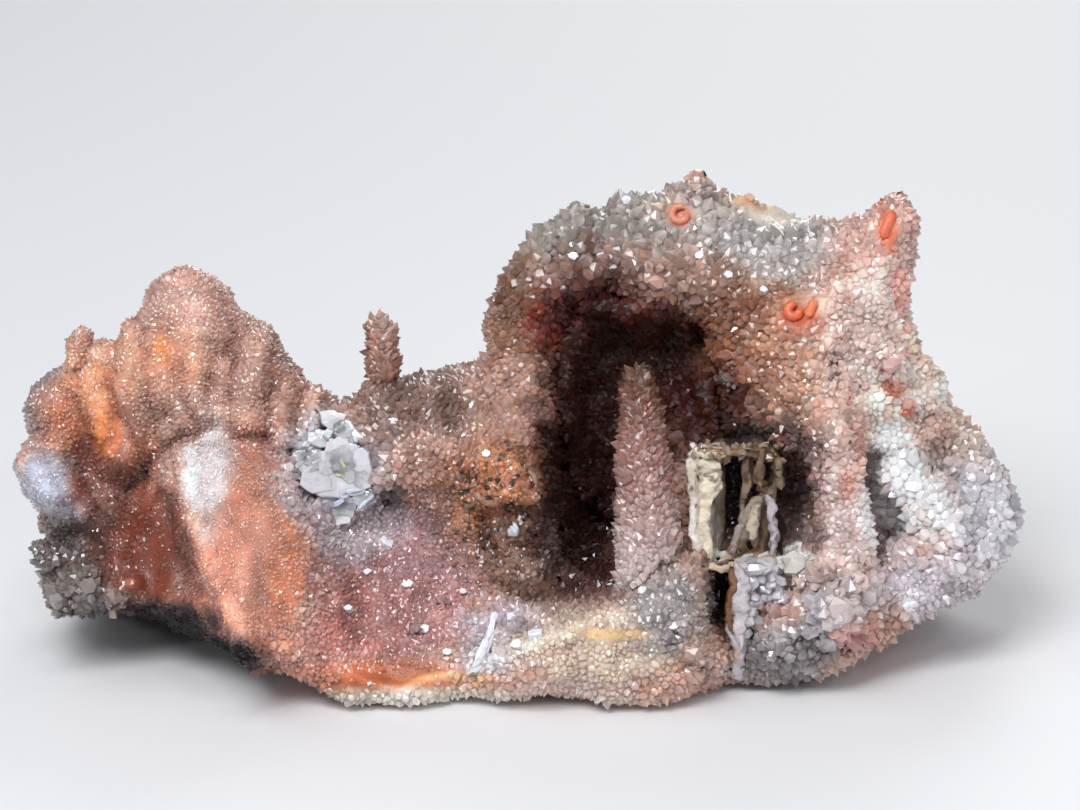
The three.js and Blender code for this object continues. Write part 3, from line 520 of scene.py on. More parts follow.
def material(
    name, roughness, scatter, depth, glassy=0.0, coat=0.0, bump=0.0, bump_scale=2600, grain=0.4,
    shine=0.5, warmth=0.65,
):
    """Stone or crystal that light sinks into by a depth in mm, with a fine grain and perhaps a bump.

    At a warmth of 1 all light sinks in alike. Below that red light sinks deeper, as in stained stone.
    """
    made = bpy.data.materials.new(name)
    made.use_nodes = True
    tree = made.node_tree
    shader = tree.nodes["Principled BSDF"]
    for socket, value in {
        "Roughness": roughness, "IOR": QUARTZ_IOR, "Specular IOR Level": shine,
        "Transmission Weight": glassy, "Subsurface Weight": scatter, "Subsurface Scale": depth * MM,
        "Subsurface Radius": (1.0, warmth, warmth), "Coat Weight": coat, "Coat Roughness": 0.08,
    }.items():
        shader.inputs[socket].default_value = value
    where = tree.nodes.new("ShaderNodeTexCoord").outputs["Object"]
    cloud = linked(tree, "ShaderNodeTexNoise", {"Vector": where}, Scale=900, Detail=4)
    grains = {"To_Min": 1 - grain / 2, "To_Max": 1 + grain / 2}
    shade = linked(tree, "ShaderNodeMapRange", {"Value": cloud.outputs["Fac"]}, **grains)
    base = tree.nodes.new("ShaderNodeAttribute")
    base.attribute_name = "Tint"
    mixed = tree.nodes.new("ShaderNodeVectorMath")
    mixed.operation = "SCALE"
    tree.links.new(base.outputs["Color"], mixed.inputs[0])
    tree.links.new(shade.outputs["Result"], mixed.inputs["Scale"])
    tree.links.new(mixed.outputs["Vector"], shader.inputs["Base Color"])
    if bump:
        fine = linked(tree, "ShaderNodeTexNoise", {"Vector": where}, Scale=bump_scale, Detail=3)
        height = {"Height": fine.outputs["Fac"]}
        raised = linked(tree, "ShaderNodeBump", height, Distance=0.4 * MM, Strength=bump)
        tree.links.new(raised.outputs["Normal"], shader.inputs["Normal"])
    return made


# %% The specimen's stone and crystal
chalcedony = material("chalcedony", 0.38, scatter=0.6, depth=2.2, coat=0.2, bump=0.5)
druse = material(
    "quartz_points", 0.12, scatter=0.6, depth=0.6, glassy=0.12, coat=0.4, grain=0.2, warmth=0.85,
)
cast_stone = material(
    "white_quartz", 0.5, scatter=0.35, depth=0.5, bump=0.8, bump_scale=1800, grain=0.5, warmth=0.9,
)
# A duller, shaded copy of the quartz points' finish, for points where shade falls in the cave and under
# the mound.
shade_dulled_druse = material("cave_points", 0.4, scatter=0.5, depth=0.6, grain=0.3, shine=0.2)
glass_druse = material(
    "clear_points", 0.08, scatter=0.6, depth=0.8, glassy=0.2, coat=0.4, grain=0.2, warmth=1.0,
)
clear = material(
    "clear_quartz", 0.1, scatter=0.75, depth=0.6, glassy=0.2, coat=0.4, bump=0.25, bump_scale=700,
    grain=0.25, warmth=1.0,
)
bright = material("bright_faces", 0.08, scatter=0.3, depth=0.5, coat=1.0, grain=0.15, warmth=1.0)

# %% [markdown]
# ## The body's ground
# The body's skin gets its lumps, its small forms and, on the broken outer side, grape-like lobes.
# Where the chalcedony is bare it stays smooth, and the rusty patch is eaten into holes. Only the
# heights change, straight out from the skin, so the form of the solid stays what it was.

# %% Raising the body's small forms
SMOOTH = [(-46, -15, 15, 15, 1), (-69, -7, 7, 5, 0.4), (-18, -35, 11, 2, 0.8), (38, 34.5, 7, 3, 0.8)]
points, quads = fine_skin(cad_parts["chalcedony_body"], 0.8, 8)
normals = vertex_normals(points, quads)
face = to_face(points)
behind = rind_share(points, normals)
front = smoothstep(-0.15, 0.25, normals @ W) * (1 - behind)
rusty = np.maximum(patch_weight(face, (-2, -7), (9, 8)), patch_weight(face, (1, -17), (6, 6)))
rise = 0.15 * smooth_noise(points, 1.5, 62) + (1 - behind) * lumpiness(points, face)
rise *= 1 - 0.85 * laid(face, [0], SMOOTH)[:, 0]
rise += front * relief(face)
big, small = rind_creases(points)
rise += behind * (2.0 * big + 0.8 * small + 0.25 * smooth_noise(points, 1.6, 68) - 1.7)
rise -= rusty * 1.3 * smoothstep(0.1, 0.5, smooth_noise(points, 2.0, 65))
rise += rusty * 0.45 * smooth_noise(points, 1.3, 67)
off_base = smoothstep(0.4, 2.0, points[:, 2])  # the cut base stays flat
points = points + normals * (rise * off_base)[:, None]
normals = vertex_normals(points, quads)
body = new_piece("chalcedony_ground", points, quads, chalcedony, tint(points, normals))
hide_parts("chalcedony_body")
grounds = {"chalcedony_body": (points, quads, normals)}

# %% [markdown]
# ## Stalactites and the cave's lining
# Each stalactite is coloured along its own length, because it stands in front of darker places.
# The tall one is tan at its tip, pink below with small red spots, and pale where crystals bury
# its foot.

# %% Colours along the stalactites: height up the face, then colour
ALONG = {
    "centre_stalactite": [
        (-22, (196, 180, 175)), (-14, (188, 158, 151)), (-8, (166, 127, 118)), (0, (155, 109, 98)),
        (5, (120, 74, 57)), (9, (96, 59, 39)), (12, (104, 69, 46)),
    ],
    "left_stalactite": [
        (-2, (174, 145, 131)), (3, (158, 116, 101)), (9, (149, 102, 85)), (14, (157, 113, 94)),
        (19, (180, 147, 131)),
    ],
    "left_finger": [
        (2, (214, 136, 92)), (10, (216, 146, 108)), (15, (206, 158, 134)), (18, (200, 160, 142)),
    ],
}


def tint_along(node_name, points):
    """The linear colour of a stalactite at points on it, by their height up the face."""
    heights, colours = zip(*ALONG[node_name])
    here = to_face(points)[:, 1]
    colour = np.stack([np.interp(here, heights, channel) for channel in zip(*colours)], axis=1)
    spots = smoothstep(0.4, 0.7, smooth_noise(points, 1.7, 22))
    colour = laid_over(colour, 0.35 * spots, (186, 104, 90))
    colour *= 1 + 0.08 * smooth_noise(points, 1.2, 33)[:, None]
    return linear(np.clip(colour, 2, 250))


def colours_of(node_name, points, normals):
    """The linear colour of any node's surface."""
    return tint_along(node_name, points) if node_name in ALONG else tint(points, normals)


# %% Their ground surfaces
SLOTS = {
    "chalcedony_body": "chalcedony",
    "cave_druse": "cave_crystals",
    "centre_stalactite": "drusy_quartz",
    "left_stalactite": "drusy_quartz",
    "left_finger": "drusy_quartz",
}
for node_name in list(SLOTS)[1:]:
    points, quads = fine_skin(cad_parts[node_name], 0.5, 5)
    normals = vertex_normals(points, quads)
    points = points + normals * (0.3 * smooth_noise(points, 2.0, 71) - 0.15)[:, None]
    normals = vertex_normals(points, quads)
    colours = colours_of(node_name, points, normals)
    piece = new_piece(node_name + "_ground", points, quads, chalcedony, colours)
    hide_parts(node_name)
    grounds[node_name] = (points, quads, normals)

# %% [markdown]
# ## Quartz points
# A druse is thousands of six-sided quartz points, packed side by side and leaning every way. Each
# is a short prism with a pointed end. They are set out in code, biggest first, and each keeps its
# own reach clear, so they crowd without heaping up. One array builds them all, which keeps every
# point as a real mesh. A point has the chalcedony's colour at its foot and pales towards its tip.

# %% Sizes of the points in mm: place, half sizes and size
POINT_SIZE = 0.8
SIZES = [
    # fine on the left
    (-62, 0, 14, 20, 0.5), (-48, 12, 14, 14, 0.52), (-70, -6, 6, 4.5, 0.45), (-54, -17, 6, 10, 0.42),
    (-41, -15, 10, 15, 0.34),
    # coarse at its foot and round the clear cluster
    (-67, -22, 9, 5, 0.9), (-25, -6, 9, 9, 1.0),
    # fine in the bowl
    (-17, -20, 14, 11, 0.6), (-22, -30, 12, 6, 0.6), (-3, -10, 10, 11, 0.6),
    # coarse on the hood and the right side, a little finer on the ledge
    (18, 30, 28, 10, 1.12), (36, 14, 12, 14, 0.95), (15, 2, 12, 22, 0.9), (12, -31, 14, 7, 0.7),
    (44, -26, 10, 7, 1.1), (54, 12, 10, 16, 0.85), (60, -10, 6, 10, 1.15), (70, -10, 8, 12, 1.0),
]

# %% Where points are missing: place, half sizes and the share that is missing
BARE = [
    (-53.5, -16, 4.5, 9, 0.75), (-38, -15, 8, 13, 0.3), (-46, -4.5, 6, 4, 0.2), (-62, 2, 4, 7, 0.5),
    (-57, 13, 7, 5, 0.35), (-69, -7, 6.5, 5, 0.5), (-18, -35, 11, 1.6, 0.85),
    (54.6, 31.8, 1.6, 2.8, 0.97), (23.9, 33.6, 1.9, 1.9, 1.0), (41.6, 19.2, 3.2, 2.6, 1.0),
    (-1, -8, 6, 6, 0.35), (14, -28, 6, 0.9, 0.6), (38.5, 34.6, 6.5, 2.6, 0.9), (-27, -4, 5, 5, 1.0),
]

# %% Setting the points out


def spread(place, reach):
    """Which places to keep so that each has its own reach to itself, the earlier ones winning."""
    tree = kdtree.KDTree(len(place))
    for i, p in enumerate(place):
        tree.insert(p, i)
    tree.balance()
    free = np.ones(len(place), bool)
    kept = []
    for i, (p, r) in enumerate(zip(place.tolist(), reach.tolist())):
        if free[i]:
            kept.append(i)
            for _, j, _ in tree.find_range(p, r):
                free[j] = False
    return np.array(kept)


def scatter(ground, rng, spacing=0.62, size_here=None, crowding=11):
    """Places, normals and sizes for points crowded over a ground surface.

    The spacing is a share of a point's size, the crowding how many places are tried on a square mm.
    """
    points, quads, normals = ground
    a, b, c, d = (points[quads[:, k]] for k in range(4))
    area = 0.5 * np.linalg.norm(np.cross(c - a, d - b), axis=1)
    chosen = rng.choice(len(quads), int(area.sum() * crowding), p=area / area.sum())
    s, t = rng.random((2, len(chosen), 1))
    place = (a[chosen] * (1 - s) + b[chosen] * s) * (1 - t) + (d[chosen] * (1 - s) + c[chosen] * s) * t
    normal = normals[quads[chosen, 0]]
    if size_here is None:
        face = to_face(place)
        size, bare = laid(face, [POINT_SIZE], SIZES)[:, 0], laid(face, [0], BARE)[:, 0]
    else:
        size, bare = np.full(len(place), size_here), np.zeros(len(place))
    size = size * np.exp(0.24 * rng.standard_normal(len(size)))
    use = (rind_share(place, normal) < 0.3 + 0.3 * rng.random(len(size))) & (place[:, 2] > 1.0)
    order = np.nonzero(use)[0]
    order = order[np.argsort(-size[order])]
    place, normal, size, bare = (values[order] for values in (place, normal, size, bare))
    kept = spread(place, spacing * size)
    kept = kept[rng.random(len(kept)) > bare[kept]]
    return place[kept], normal[kept], size[kept]


# %% Building the points
SIDES = 6
AROUND = np.arange(SIDES)
AFTER = (AROUND + 1) % SIDES
# Triangles of one crystal: its six walls, in two halves each, and the six faces of its point.
CRYSTAL = np.concatenate([
    np.stack([AROUND, AFTER, AFTER + SIDES], axis=1),
    np.stack([AROUND, AFTER + SIDES, AROUND + SIDES], axis=1),
    np.stack([AROUND + SIDES, AFTER + SIDES, np.full(SIDES, 2 * SIDES)], axis=1),
])


def quartz_points(place, axis, size, rng, prism=(0.0, 0.3), taper=(0.45, 0.62), uneven=0.09):
    """Vertices and triangles of six-sided points: for each a foot, a shoulder and a tip."""
    n = len(place)
    side = unit(np.cross(axis, rng.standard_normal((n, 3))))
    other = np.cross(axis, side)
    around = AROUND * 2 * math.pi / SIDES
    ring = side[:, None] * np.cos(around)[:, None] + other[:, None] * np.sin(around)[:, None]
    radius = (size * 0.5)[:, None, None] * (1 + uneven * rng.standard_normal((n, SIDES, 1)))
    height = (size * rng.uniform(*prism, n))[:, None]
    point = (size * rng.uniform(*taper, n))[:, None]
    foot = (place - axis * 0.4 * size[:, None])[:, None] + ring * radius
    shoulder = (place + axis * height)[:, None] + ring * radius * 0.94
    shoulder += axis[:, None] * (size[:, None, None] * uneven * rng.standard_normal((n, SIDES, 1)))
    tip = place + axis * (height + point) + 0.09 * size[:, None] * rng.standard_normal((n, 3))
    vertices = np.concatenate([foot, shoulder, tip[:, None]], axis=1).reshape(-1, 3)
    return vertices, (CRYSTAL + (2 * SIDES + 1) * np.arange(n)[:, None, None]).reshape(-1, 3)


# %% [markdown]
# ## How the points catch the light
# Such small points are nearly clear, so what is seen of them is the tint of the chalcedony below,
# a paler tip and now and then a facet that catches the light. They could be made of clear glass,
# but thousands of glass points show mostly each other. So they are tinted like the ground below
# them, and three in four are shaded almost like it too, because light passes through them and
# hardly shades their facets. The fourth keeps its own facets' shading, and that makes the druse
# sparkle. A few tip facets are also painted nearly white as painted glints, and each point's foot
# is painted a little darker as painted shade.

# %% Colouring them facet by facet
CLEAR_TIP = np.array([0.9, 0.87, 0.87])
# The white of the painted glints.
PAINTED_GLINT_COLOUR = np.array([0.97, 0.97, 0.97])


def facet_colours(colour, rng, clearing, contrast=0.12, painted_glint_share=0.02):
    """Colours for the corners of points whose ground colours are given, triangle by triangle.

    The clearing says how pale the tips are, the contrast how far one facet differs from the next,
    and the share given last is that of tip facets painted nearly white, as painted glints.
    """
    n = len(colour)
    lit = 2.2 * colour.mean(axis=1, keepdims=True)  # dark places keep their points dark
    pale = clearing * rng.uniform(0.2, 1.8, (n, 1)) * np.minimum(lit, 0.8)
    own = colour * np.exp(0.07 * rng.standard_normal((n, 1)))
    paler = pale * (CLEAR_TIP - own)
    # Painted shade: each point's foot is a little darker than its ground colour.
    rings = np.stack([own * 0.92, own + 0.35 * paler, own + paler], axis=1)
    wall, end = (np.exp(contrast * rng.standard_normal((n, SIDES, 1, 1))) for _ in range(2))
    # Painted glints: a few tip facets are painted nearly white, less so where the ground is dark.
    painted_glint = (rng.random((n, SIDES, 1, 1)) < painted_glint_share) * rng.uniform(0.2, 1.0, (n, SIDES, 1, 1))
    painted_glint = painted_glint * np.minimum(lit, 1)[:, :, None, None]
    walls = [rings[:, None, on_rings] * wall for on_rings in ([0, 0, 1], [0, 1, 1])]
    ends = rings[:, None, [1, 1, 2]] * end
    ends = ends + painted_glint * (PAINTED_GLINT_COLOUR - ends)
    return np.clip(np.concatenate([*walls, ends], axis=1).reshape(-1, 3), DARKEST, PALEST)


# %% Making one piece of druse
KEEPS_FACETS, SHADED_ALIKE = 0.35, 1.3  # how far a point's shading is turned towards the ground's


def druse_piece(
    name, node_name, places, normals, sizes, rng, lean=0.33, upward=0.0, finish=druse, clearing=0.26,
    **form,
):
    """One piece of druse: points on a node's ground, coloured and shaded like the ground below."""
    axis = unit(normals + upward * V + lean * rng.standard_normal(normals.shape))
    vertices, faces = quartz_points(places, axis, sizes, rng, **form)
    colours = facet_colours(colours_of(node_name, places, normals), rng, clearing)
    hold = np.where(rng.random(len(places)) < 0.25, KEEPS_FACETS, SHADED_ALIKE)
    eased = np.repeat(normals * hold[:, None], 3 * SIDES, axis=0)
    return new_piece(name, vertices, faces, finish, colours, False, eased)


# %% Sorting the body's points
GLASSY = [
    ((-27, -6), (9, 10)), ((44, -26), (9, 7)), ((70, -12), (8, 10)), ((22, 33), (16, 6)),
    ((-67, -22), (8, 5)),
]
rng = np.random.default_rng(5)
place, normal, size = scatter(grounds["chalcedony_body"], rng)
face = to_face(place)
clearness = np.max([patch_weight(face, *patch) for patch in GLASSY], axis=0)
is_clear = rng.random(len(face)) < 0.8 * clearness
# The points in the cave and under the mound take the shaded, duller finish.
in_cave = np.maximum(patch_weight(face, (12, 6), (13, 18)), 0.7 * patch_weight(face, (27, 8), (8, 9)))
shaded = rng.random(len(face)) < 1.3 * in_cave
shaded |= rng.random(len(face)) < 1.5 * patch_weight(face, *CRUST_AND_SHADE_UNDER_MOUND)
shaded &= ~is_clear

# %% The body's druse, region by region
u, v, _ = face.T
plain = ~is_clear & ~shaded
REGIONS = {
    "druse_left": plain & (u < -36),
    "druse_bowl": plain & (u >= -36) & (u < 4),
    "druse_hood": plain & (u >= 4) & (v >= 12),
    "druse_middle": plain & (u >= 4) & (u < 34) & (v < 12),
    "druse_right": plain & (u >= 34) & (v < 12),
    "druse_shaded": shaded,
    "druse_clear": is_clear,
}
FINISHES = {
    "druse_shaded": {"finish": shade_dulled_druse},
    "druse_clear": {"finish": glass_druse, "clearing": 0.5},
}
size[is_clear] *= 1.1
for name, inside in REGIONS.items():
    special = FINISHES.get(name, {})
    druse_piece(name, "chalcedony_body", place[inside], normal[inside], size[inside], rng, **special)

# %% The druse in the cave and on the stalactites
# Each has its points' size, how far they turn upward, how unevenly they lean, and their finish.
LONG_POINTS = {"prism": (0.1, 0.5), "taper": (0.5, 0.8)}
for node_name, width, upward, lean, finish, form in (
    # the cave's points take the shaded, duller finish
    ("cave_druse", None, 0.0, 0.33, shade_dulled_druse, {}),
    ("centre_stalactite", 0.78, 0.5, 0.3, druse, LONG_POINTS),
    ("left_stalactite", 0.75, 0.45, 0.3, druse, LONG_POINTS),
    ("left_finger", 0.45, 0.2, 0.3, druse, {}),
):
    spots = scatter(grounds[node_name], rng, 0.6, width, 10)
    druse_piece(node_name + "_points", node_name, *spots, rng, lean, upward, finish, **form)

# %% [markdown]
# ## Larger crystals
# Here and there the quartz had room to grow large and clear: the flat-topped cluster left of the
# middle, single crystals at the lower right and on the ledge, flat faces that flash in the bowl.
# Each is set on the ground as it now stands, so its height has to be looked up first. A search
# tree of the ground's points, laid flat on the face, answers that quickly.

# %% How far out the ground stands
points, _, normals = grounds["chalcedony_body"]
faces_us = np.nonzero(normals @ W > 0.1)[0]
on_face = to_face(points[faces_us])
flat_tree = kdtree.KDTree(len(on_face))
for i, (u, v, _) in enumerate(on_face):
    flat_tree.insert((u, v, 0), i)
flat_tree.balance()


def surface_w(u, v):
    """How far out the ground stands at a place on the face."""
    near = flat_tree.find_range((u, v, 0), 0.8) or [flat_tree.find((u, v, 0))]
    return max(on_face[i, 2] for _, i, _ in near)


# %% [markdown]
# ## The clear cluster
# The cluster is a handful of flat plates that grew side by side, nearly parallel, with thin
# growth steps on their tops. A heap of random crystals reads as rubble. So the plates' outlines
# are drawn, each becomes a slab with a small bevel, and many thin six-sided slabs lie on it as
# steps.

# %% The outlines of the plates
# Each has its height, its outline in mm round the cluster's heart, and how many steps lie on it.
HEART = np.array([-26.7, -4.0, 8.0])
PLATES = [
    (0.0, [
        (-1.1, 4.5), (0.2, 4.6), (1.7, 3.8), (3.2, 2.9), (4.7, 2.3), (4.9, 0), (4.5, -2.6), (3.4, -3.8),
        (0.2, -4.4), (-2.8, -4.5), (-4.5, -3.4), (-5.7, -1.7), (-5.3, -0.7), (-2.8, 1.1), (-1.9, 3.2),
    ], 20),
    (-1.5, [(-7.6, 6), (-6.4, 6.4), (-4.9, 5.9), (-3, 5.7), (-2.6, 4.3), (-4.3, 2.8), (-7.2, 3.3)], 8),
    (-0.8, [(4.3, -1.6), (6.6, -2.3), (5.8, -3.8), (3.6, -6.4), (2.6, -6.4), (3, -4.6)], 6),
    (-1.0, [(-2.5, -4), (0.6, -4.2), (2.8, -4.4), (2.2, -7.2), (-0.6, -8), (-3, -6.6)], 7),
    (-2.2, [(-6.6, 3.6), (-3, 4.4), (-2.4, 0.8), (-5.4, -0.6), (-7.4, 1)], 6),
    (-1.6, [(-1.4, 7.4), (1.8, 7), (4.2, 4.6), (2, 3), (-1.6, 4)], 6),
]
# Small faces painted in the colours of glints, as painted glints: place, half sizes, turn in degrees,
# colour.
PAINTED_GLINTS = [
    (0.6, 0.4, 0.85, 0.2, 115, (252, 236, 160)), (-0.1, -1.3, 0.5, 0.16, -15, (252, 238, 170)),
    (2.0, -3.6, 1.4, 0.3, 12, (216, 228, 250)), (4.0, -5.2, 1.5, 0.26, 42, (214, 228, 250)),
    (0.0, -5.4, 0.9, 0.35, 30, (206, 212, 240)), (-1.6, 4.9, 0.65, 0.6, 60, (226, 240, 238)),
    (2.4, 4.1, 0.5, 0.25, 100, (222, 236, 240)), (-5.0, 3.0, 0.6, 0.16, 0, (206, 214, 242)),
]

# %% Building a slab


def slab(rng, outline, heart, out, low, high, colour, bevel=0.12):
    """A slab from low to high along a direction, with its outline given round a heart on the face."""
    n = 3 * len(outline)
    corners = np.concatenate([outline, outline[:1]])
    along, knots = np.arange(n) / 3, np.arange(len(corners))
    edge = np.stack([np.interp(along, knots, values) for values in corners.T], axis=1)
    middle = edge.mean(axis=0)
    size = np.abs(edge - middle).max()
    edge += 0.035 * size * rng.standard_normal(edge.shape)
    across = unit(U - (U @ out) * out)
    up = np.cross(out, across)
    inset = 1 - bevel / size

    def ring(xy, level):
        return from_face(heart) + xy[:, :1] * across + xy[:, 1:] * up + level * out

    levels = (low, 1.04), (high - bevel, 1.0), (high, inset), (high + 0.02 * size, 0.5 * inset)
    rings = [ring(middle + (edge - middle) * scale, level) for level, scale in levels]
    k = np.arange(n)
    after = (k + 1) % n
    faces, colours = [], []
    # Painted light and shade: the walls are painted darker and the bevel lighter, a painted highlight.
    for level, painted_light in enumerate((0.8, 1.2, 1.0)):  # the walls, the bevel and the flat top
        low_ring, high_ring = level * n, (level + 1) * n
        shades = np.exp(0.07 * rng.standard_normal((n, 1))) * colour * painted_light
        for last in (low_ring + after, high_ring + after), (high_ring + after, high_ring + k):
            faces.append(np.stack([low_ring + k, *last], axis=1))
            colours.append(np.repeat(shades, 3, axis=0))
    faces.append(np.stack([3 * n + k, 3 * n + after, np.full(n, 4 * n)], axis=1))
    colours.append(np.repeat(np.exp(0.05 * rng.standard_normal((n, 1))) * colour * 0.92, 3, axis=0))
    top = ring(middle[None], high + 0.03 * size)
    return np.concatenate([*rings, top]), np.concatenate(faces), np.concatenate(colours)


def six_sided(radius, stretch, turn, rng):
    """The uneven outline of a six-sided face."""
    around = turn + AROUND * math.pi / 3
    reach = radius * (1 + 0.14 * rng.standard_normal(SIDES))
    return np.stack([np.cos(around) * reach * stretch, np.sin(around) * reach], axis=1)


# %% The cluster's plates and steps
out = unit(0.1 * U + 0.16 * V + W)
shade = linear((240, 239, 246))
slabs = []
for height, outline, steps in PLATES:
    outline = np.array(outline)
    leaned = unit(out + 0.05 * rng.standard_normal(3))
    slabs.append(slab(rng, outline, HEART, leaned, -9, height, shade * rng.uniform(0.9, 1.05), 0.3))
    middle = outline.mean(axis=0)
    for _ in range(steps):
        at = middle + rng.uniform(0.0, 0.92) * (outline[rng.integers(len(outline))] - middle)
        at = at + 0.3 * rng.standard_normal(2)
        step = at + six_sided(rng.uniform(0.5, 1.7), rng.uniform(0.8, 1.7), 0.35, rng)
        rise = height + rng.uniform(-0.05, 0.22)
        own = shade * rng.uniform(0.88, 1.08)
        slabs.append(slab(rng, step, HEART, leaned, rise - 0.8, rise, own, 0.1))
# Painted glints: thin slivers in pale yellow and blue-white lie on the plates.
sliver = np.array([(-1, -0.6), (-0.3, -1), (1, -0.7), (0.8, 0.9), (-0.6, 1)])
for x, y, half_length, half_width, turn, colour in PAINTED_GLINTS:
    c, s = math.cos(math.radians(turn)), math.sin(math.radians(turn))
    turned = (x, y) + sliver * (half_length, half_width) @ np.array([(c, s), (-s, c)])
    slabs.append(slab(rng, turned, HEART, out, -1.5, 0.36, linear(colour), 0.05))
cluster = joined_piece("cluster_plates", slabs, clear, smooth=False)
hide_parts("quartz_cluster")

# %% Flat faces in the bowl, their white partly a painted glint: place and size
PAINTED_GLINT_FACES = [
    (-19.7, -15.1, 1.1), (2.2, -28.1, 1.0), (-0.4, -29.6, 0.9), (-1.3, -25.8, 0.8), (-14, -27.8, 0.9),
    (-16.6, -21.3, 0.8), (-4.9, -2.1, 0.7), (-18.8, 2.7, 0.8), (-22.5, -19.5, 0.6), (-10.5, -31, 0.7),
    (-25.2, -24.6, 0.6), (-8.4, -22.4, 0.6), (57.5, -24.4, 1.1), (61, -8.8, 1.1), (64.5, -17.2, 1.0),
    (16, 36, 0.9), (26.8, 27.4, 0.8), (31, 24.5, 0.8), (8, 27.5, 0.8), (36.2, 22.2, 0.7),
    (22.4, -27, 0.8), (17.8, -21.8, 0.7),
]
slabs = []
for u, v, radius in PAINTED_GLINT_FACES:
    out = unit(0.3 * rng.standard_normal(3) + 0.25 * V + W)
    heart = np.array([u, v, surface_w(u, v)])
    outline = six_sided(radius * 0.8, rng.uniform(1.0, 1.5), rng.uniform(0, 3), rng)
    rise = rng.uniform(0.3, 0.6)
    # Painted glint: each face is painted nearly white.
    slabs.append(slab(rng, outline, heart, out, -1.2, rise, linear((240, 240, 250)), 0.15))
# The long white face above the front rim, in three steps.
long_face = np.array([(-3.3, -4.3), (-0.6, -3.6), (1.4, 0), (2.6, 4.6), (1.4, 4.8), (-0.4, 0.5)])
heart = np.array([-5, -30, surface_w(-5, -30)])
out = unit(0.25 * V + W)
for part, rise in ((1.0, 0.5), (0.8, 0.9), (0.55, 1.2)):
    outline = long_face * (0.75 * part, part)
    slabs.append(slab(rng, outline, heart, out, -1.5, rise, linear((226, 224, 234)), 0.2))
joined_piece("bright_faces", slabs, bright, smooth=False)

# %% [markdown]
# ## Single crystals
# A large crystal is seldom alone. Smaller ones have grown into its sides, nearly parallel to it.
# Each is built from its own axis, and eleven smaller ones are set round it, leaning a little away
# from it.

# %% Where they stand
# How far each is along and up the face, how deep it is sunk, where it leans, its radius and its length.
SINGLES = [
    (24.5, -32, 1, 0.3, 0.3, 0.9, 1.3, 2.2), (22, -29, 1, -0.3, 0.5, 0.8, 1.2, 1.9),
    (27, -33, 1, 0.2, 0.4, 0.9, 1.1, 1.9), (43, -20.5, 1.5, -0.1, 0.4, 0.9, 1.7, 2.2),
    (46.3, -25.5, 1.6, 0.2, 0.4, 0.9, 2.1, 2.4), (43.3, -28, 1.6, -0.3, 0.1, 0.9, 1.6, 2.2),
    (47.4, -22, 1, 0.3, 0.6, 0.8, 1.4, 1.9), (38, -30, 1.4, -0.2, 0.2, 0.9, 1.7, 2.0),
    (48.5, -29.5, 1.2, 0.3, -0.1, 0.9, 1.3, 1.8), (40.2, -18.5, 1.5, -0.1, 0.3, 0.9, 1.9, 2.2),
    (37.6, -25.6, 1.2, 0.1, 0.3, 0.9, 1.5, 1.8), (42.5, -7.5, 1, -0.1, 0.4, 0.9, 1.2, 1.8),
    (39.6, -4.6, 1, -0.3, 0.2, 0.9, 1.0, 1.6), (27.4, 6.4, 1, -0.1, 0.5, 0.9, 1.2, 1.8),
    (31.4, 8.6, 1, -0.3, 0.4, 0.9, 1.0, 1.6), (26.8, 3.2, 1, 0.2, 0.4, 0.9, 0.9, 1.6),
    (54.9, 10.6, 0.6, -0.1, 0.2, 1.0, 1.4, 1.6), (47.2, 12.6, 0.8, 0.1, 0.4, 0.9, 1.0, 1.5),
    (45.6, 9.6, 0.8, -0.2, 0.3, 0.9, 0.9, 1.4), (26.4, 36.6, 0.8, 0.1, 0.9, 0.3, 1.2, 2.2),
    (-67, -24, 1, -0.4, 0.1, 0.9, 1.3, 2.2), (-63.5, -22, 1, 0.1, 0.3, 0.9, 1.4, 1.8),
    (-60, -23.5, 1, 0.2, 0.2, 0.9, 1.3, 1.8), (-69.5, -18, 1, -0.6, 0.9, 0.2, 1.0, 2.2),
    (-15.5, -28, 0.6, 0.2, 0.4, 0.9, 0.8, 1.3), (-11.5, -24, 0.6, -0.1, 0.5, 0.9, 0.8, 1.2),
]


# %% Building them


def long_crystal(at, axis, radius, length, colour, rng):
    """Vertices, triangles and corner colours of one six-sided crystal with an uneven pointed end."""
    side = unit(np.cross(axis, V + 0.6 * rng.standard_normal(3)))
    other = np.cross(axis, side)
    around = AROUND * 2 * math.pi / SIDES + 0.12 * rng.standard_normal(SIDES)
    ring = (side * np.cos(around)[:, None] + other * np.sin(around)[:, None]) * radius
    ring *= 1 + 0.12 * rng.standard_normal((SIDES, 1))
    uneven = 0.3 * radius * rng.standard_normal((SIDES, 1)) * axis
    tip = at + axis * (length + 0.55 * radius) + 0.22 * radius * rng.standard_normal(3)
    shoulder = at + ring * 0.95 + axis * length + uneven
    vertices = np.concatenate([at + ring - axis, shoulder, tip[None]])
    wall, end = (np.exp(0.14 * rng.standard_normal((SIDES, 1))) * colour for _ in range(2))
    shades = np.minimum(np.concatenate([wall * 0.9, wall * 0.95, end * 1.1]), 0.95)
    return vertices, CRYSTAL, np.repeat(shades, 3, axis=0)


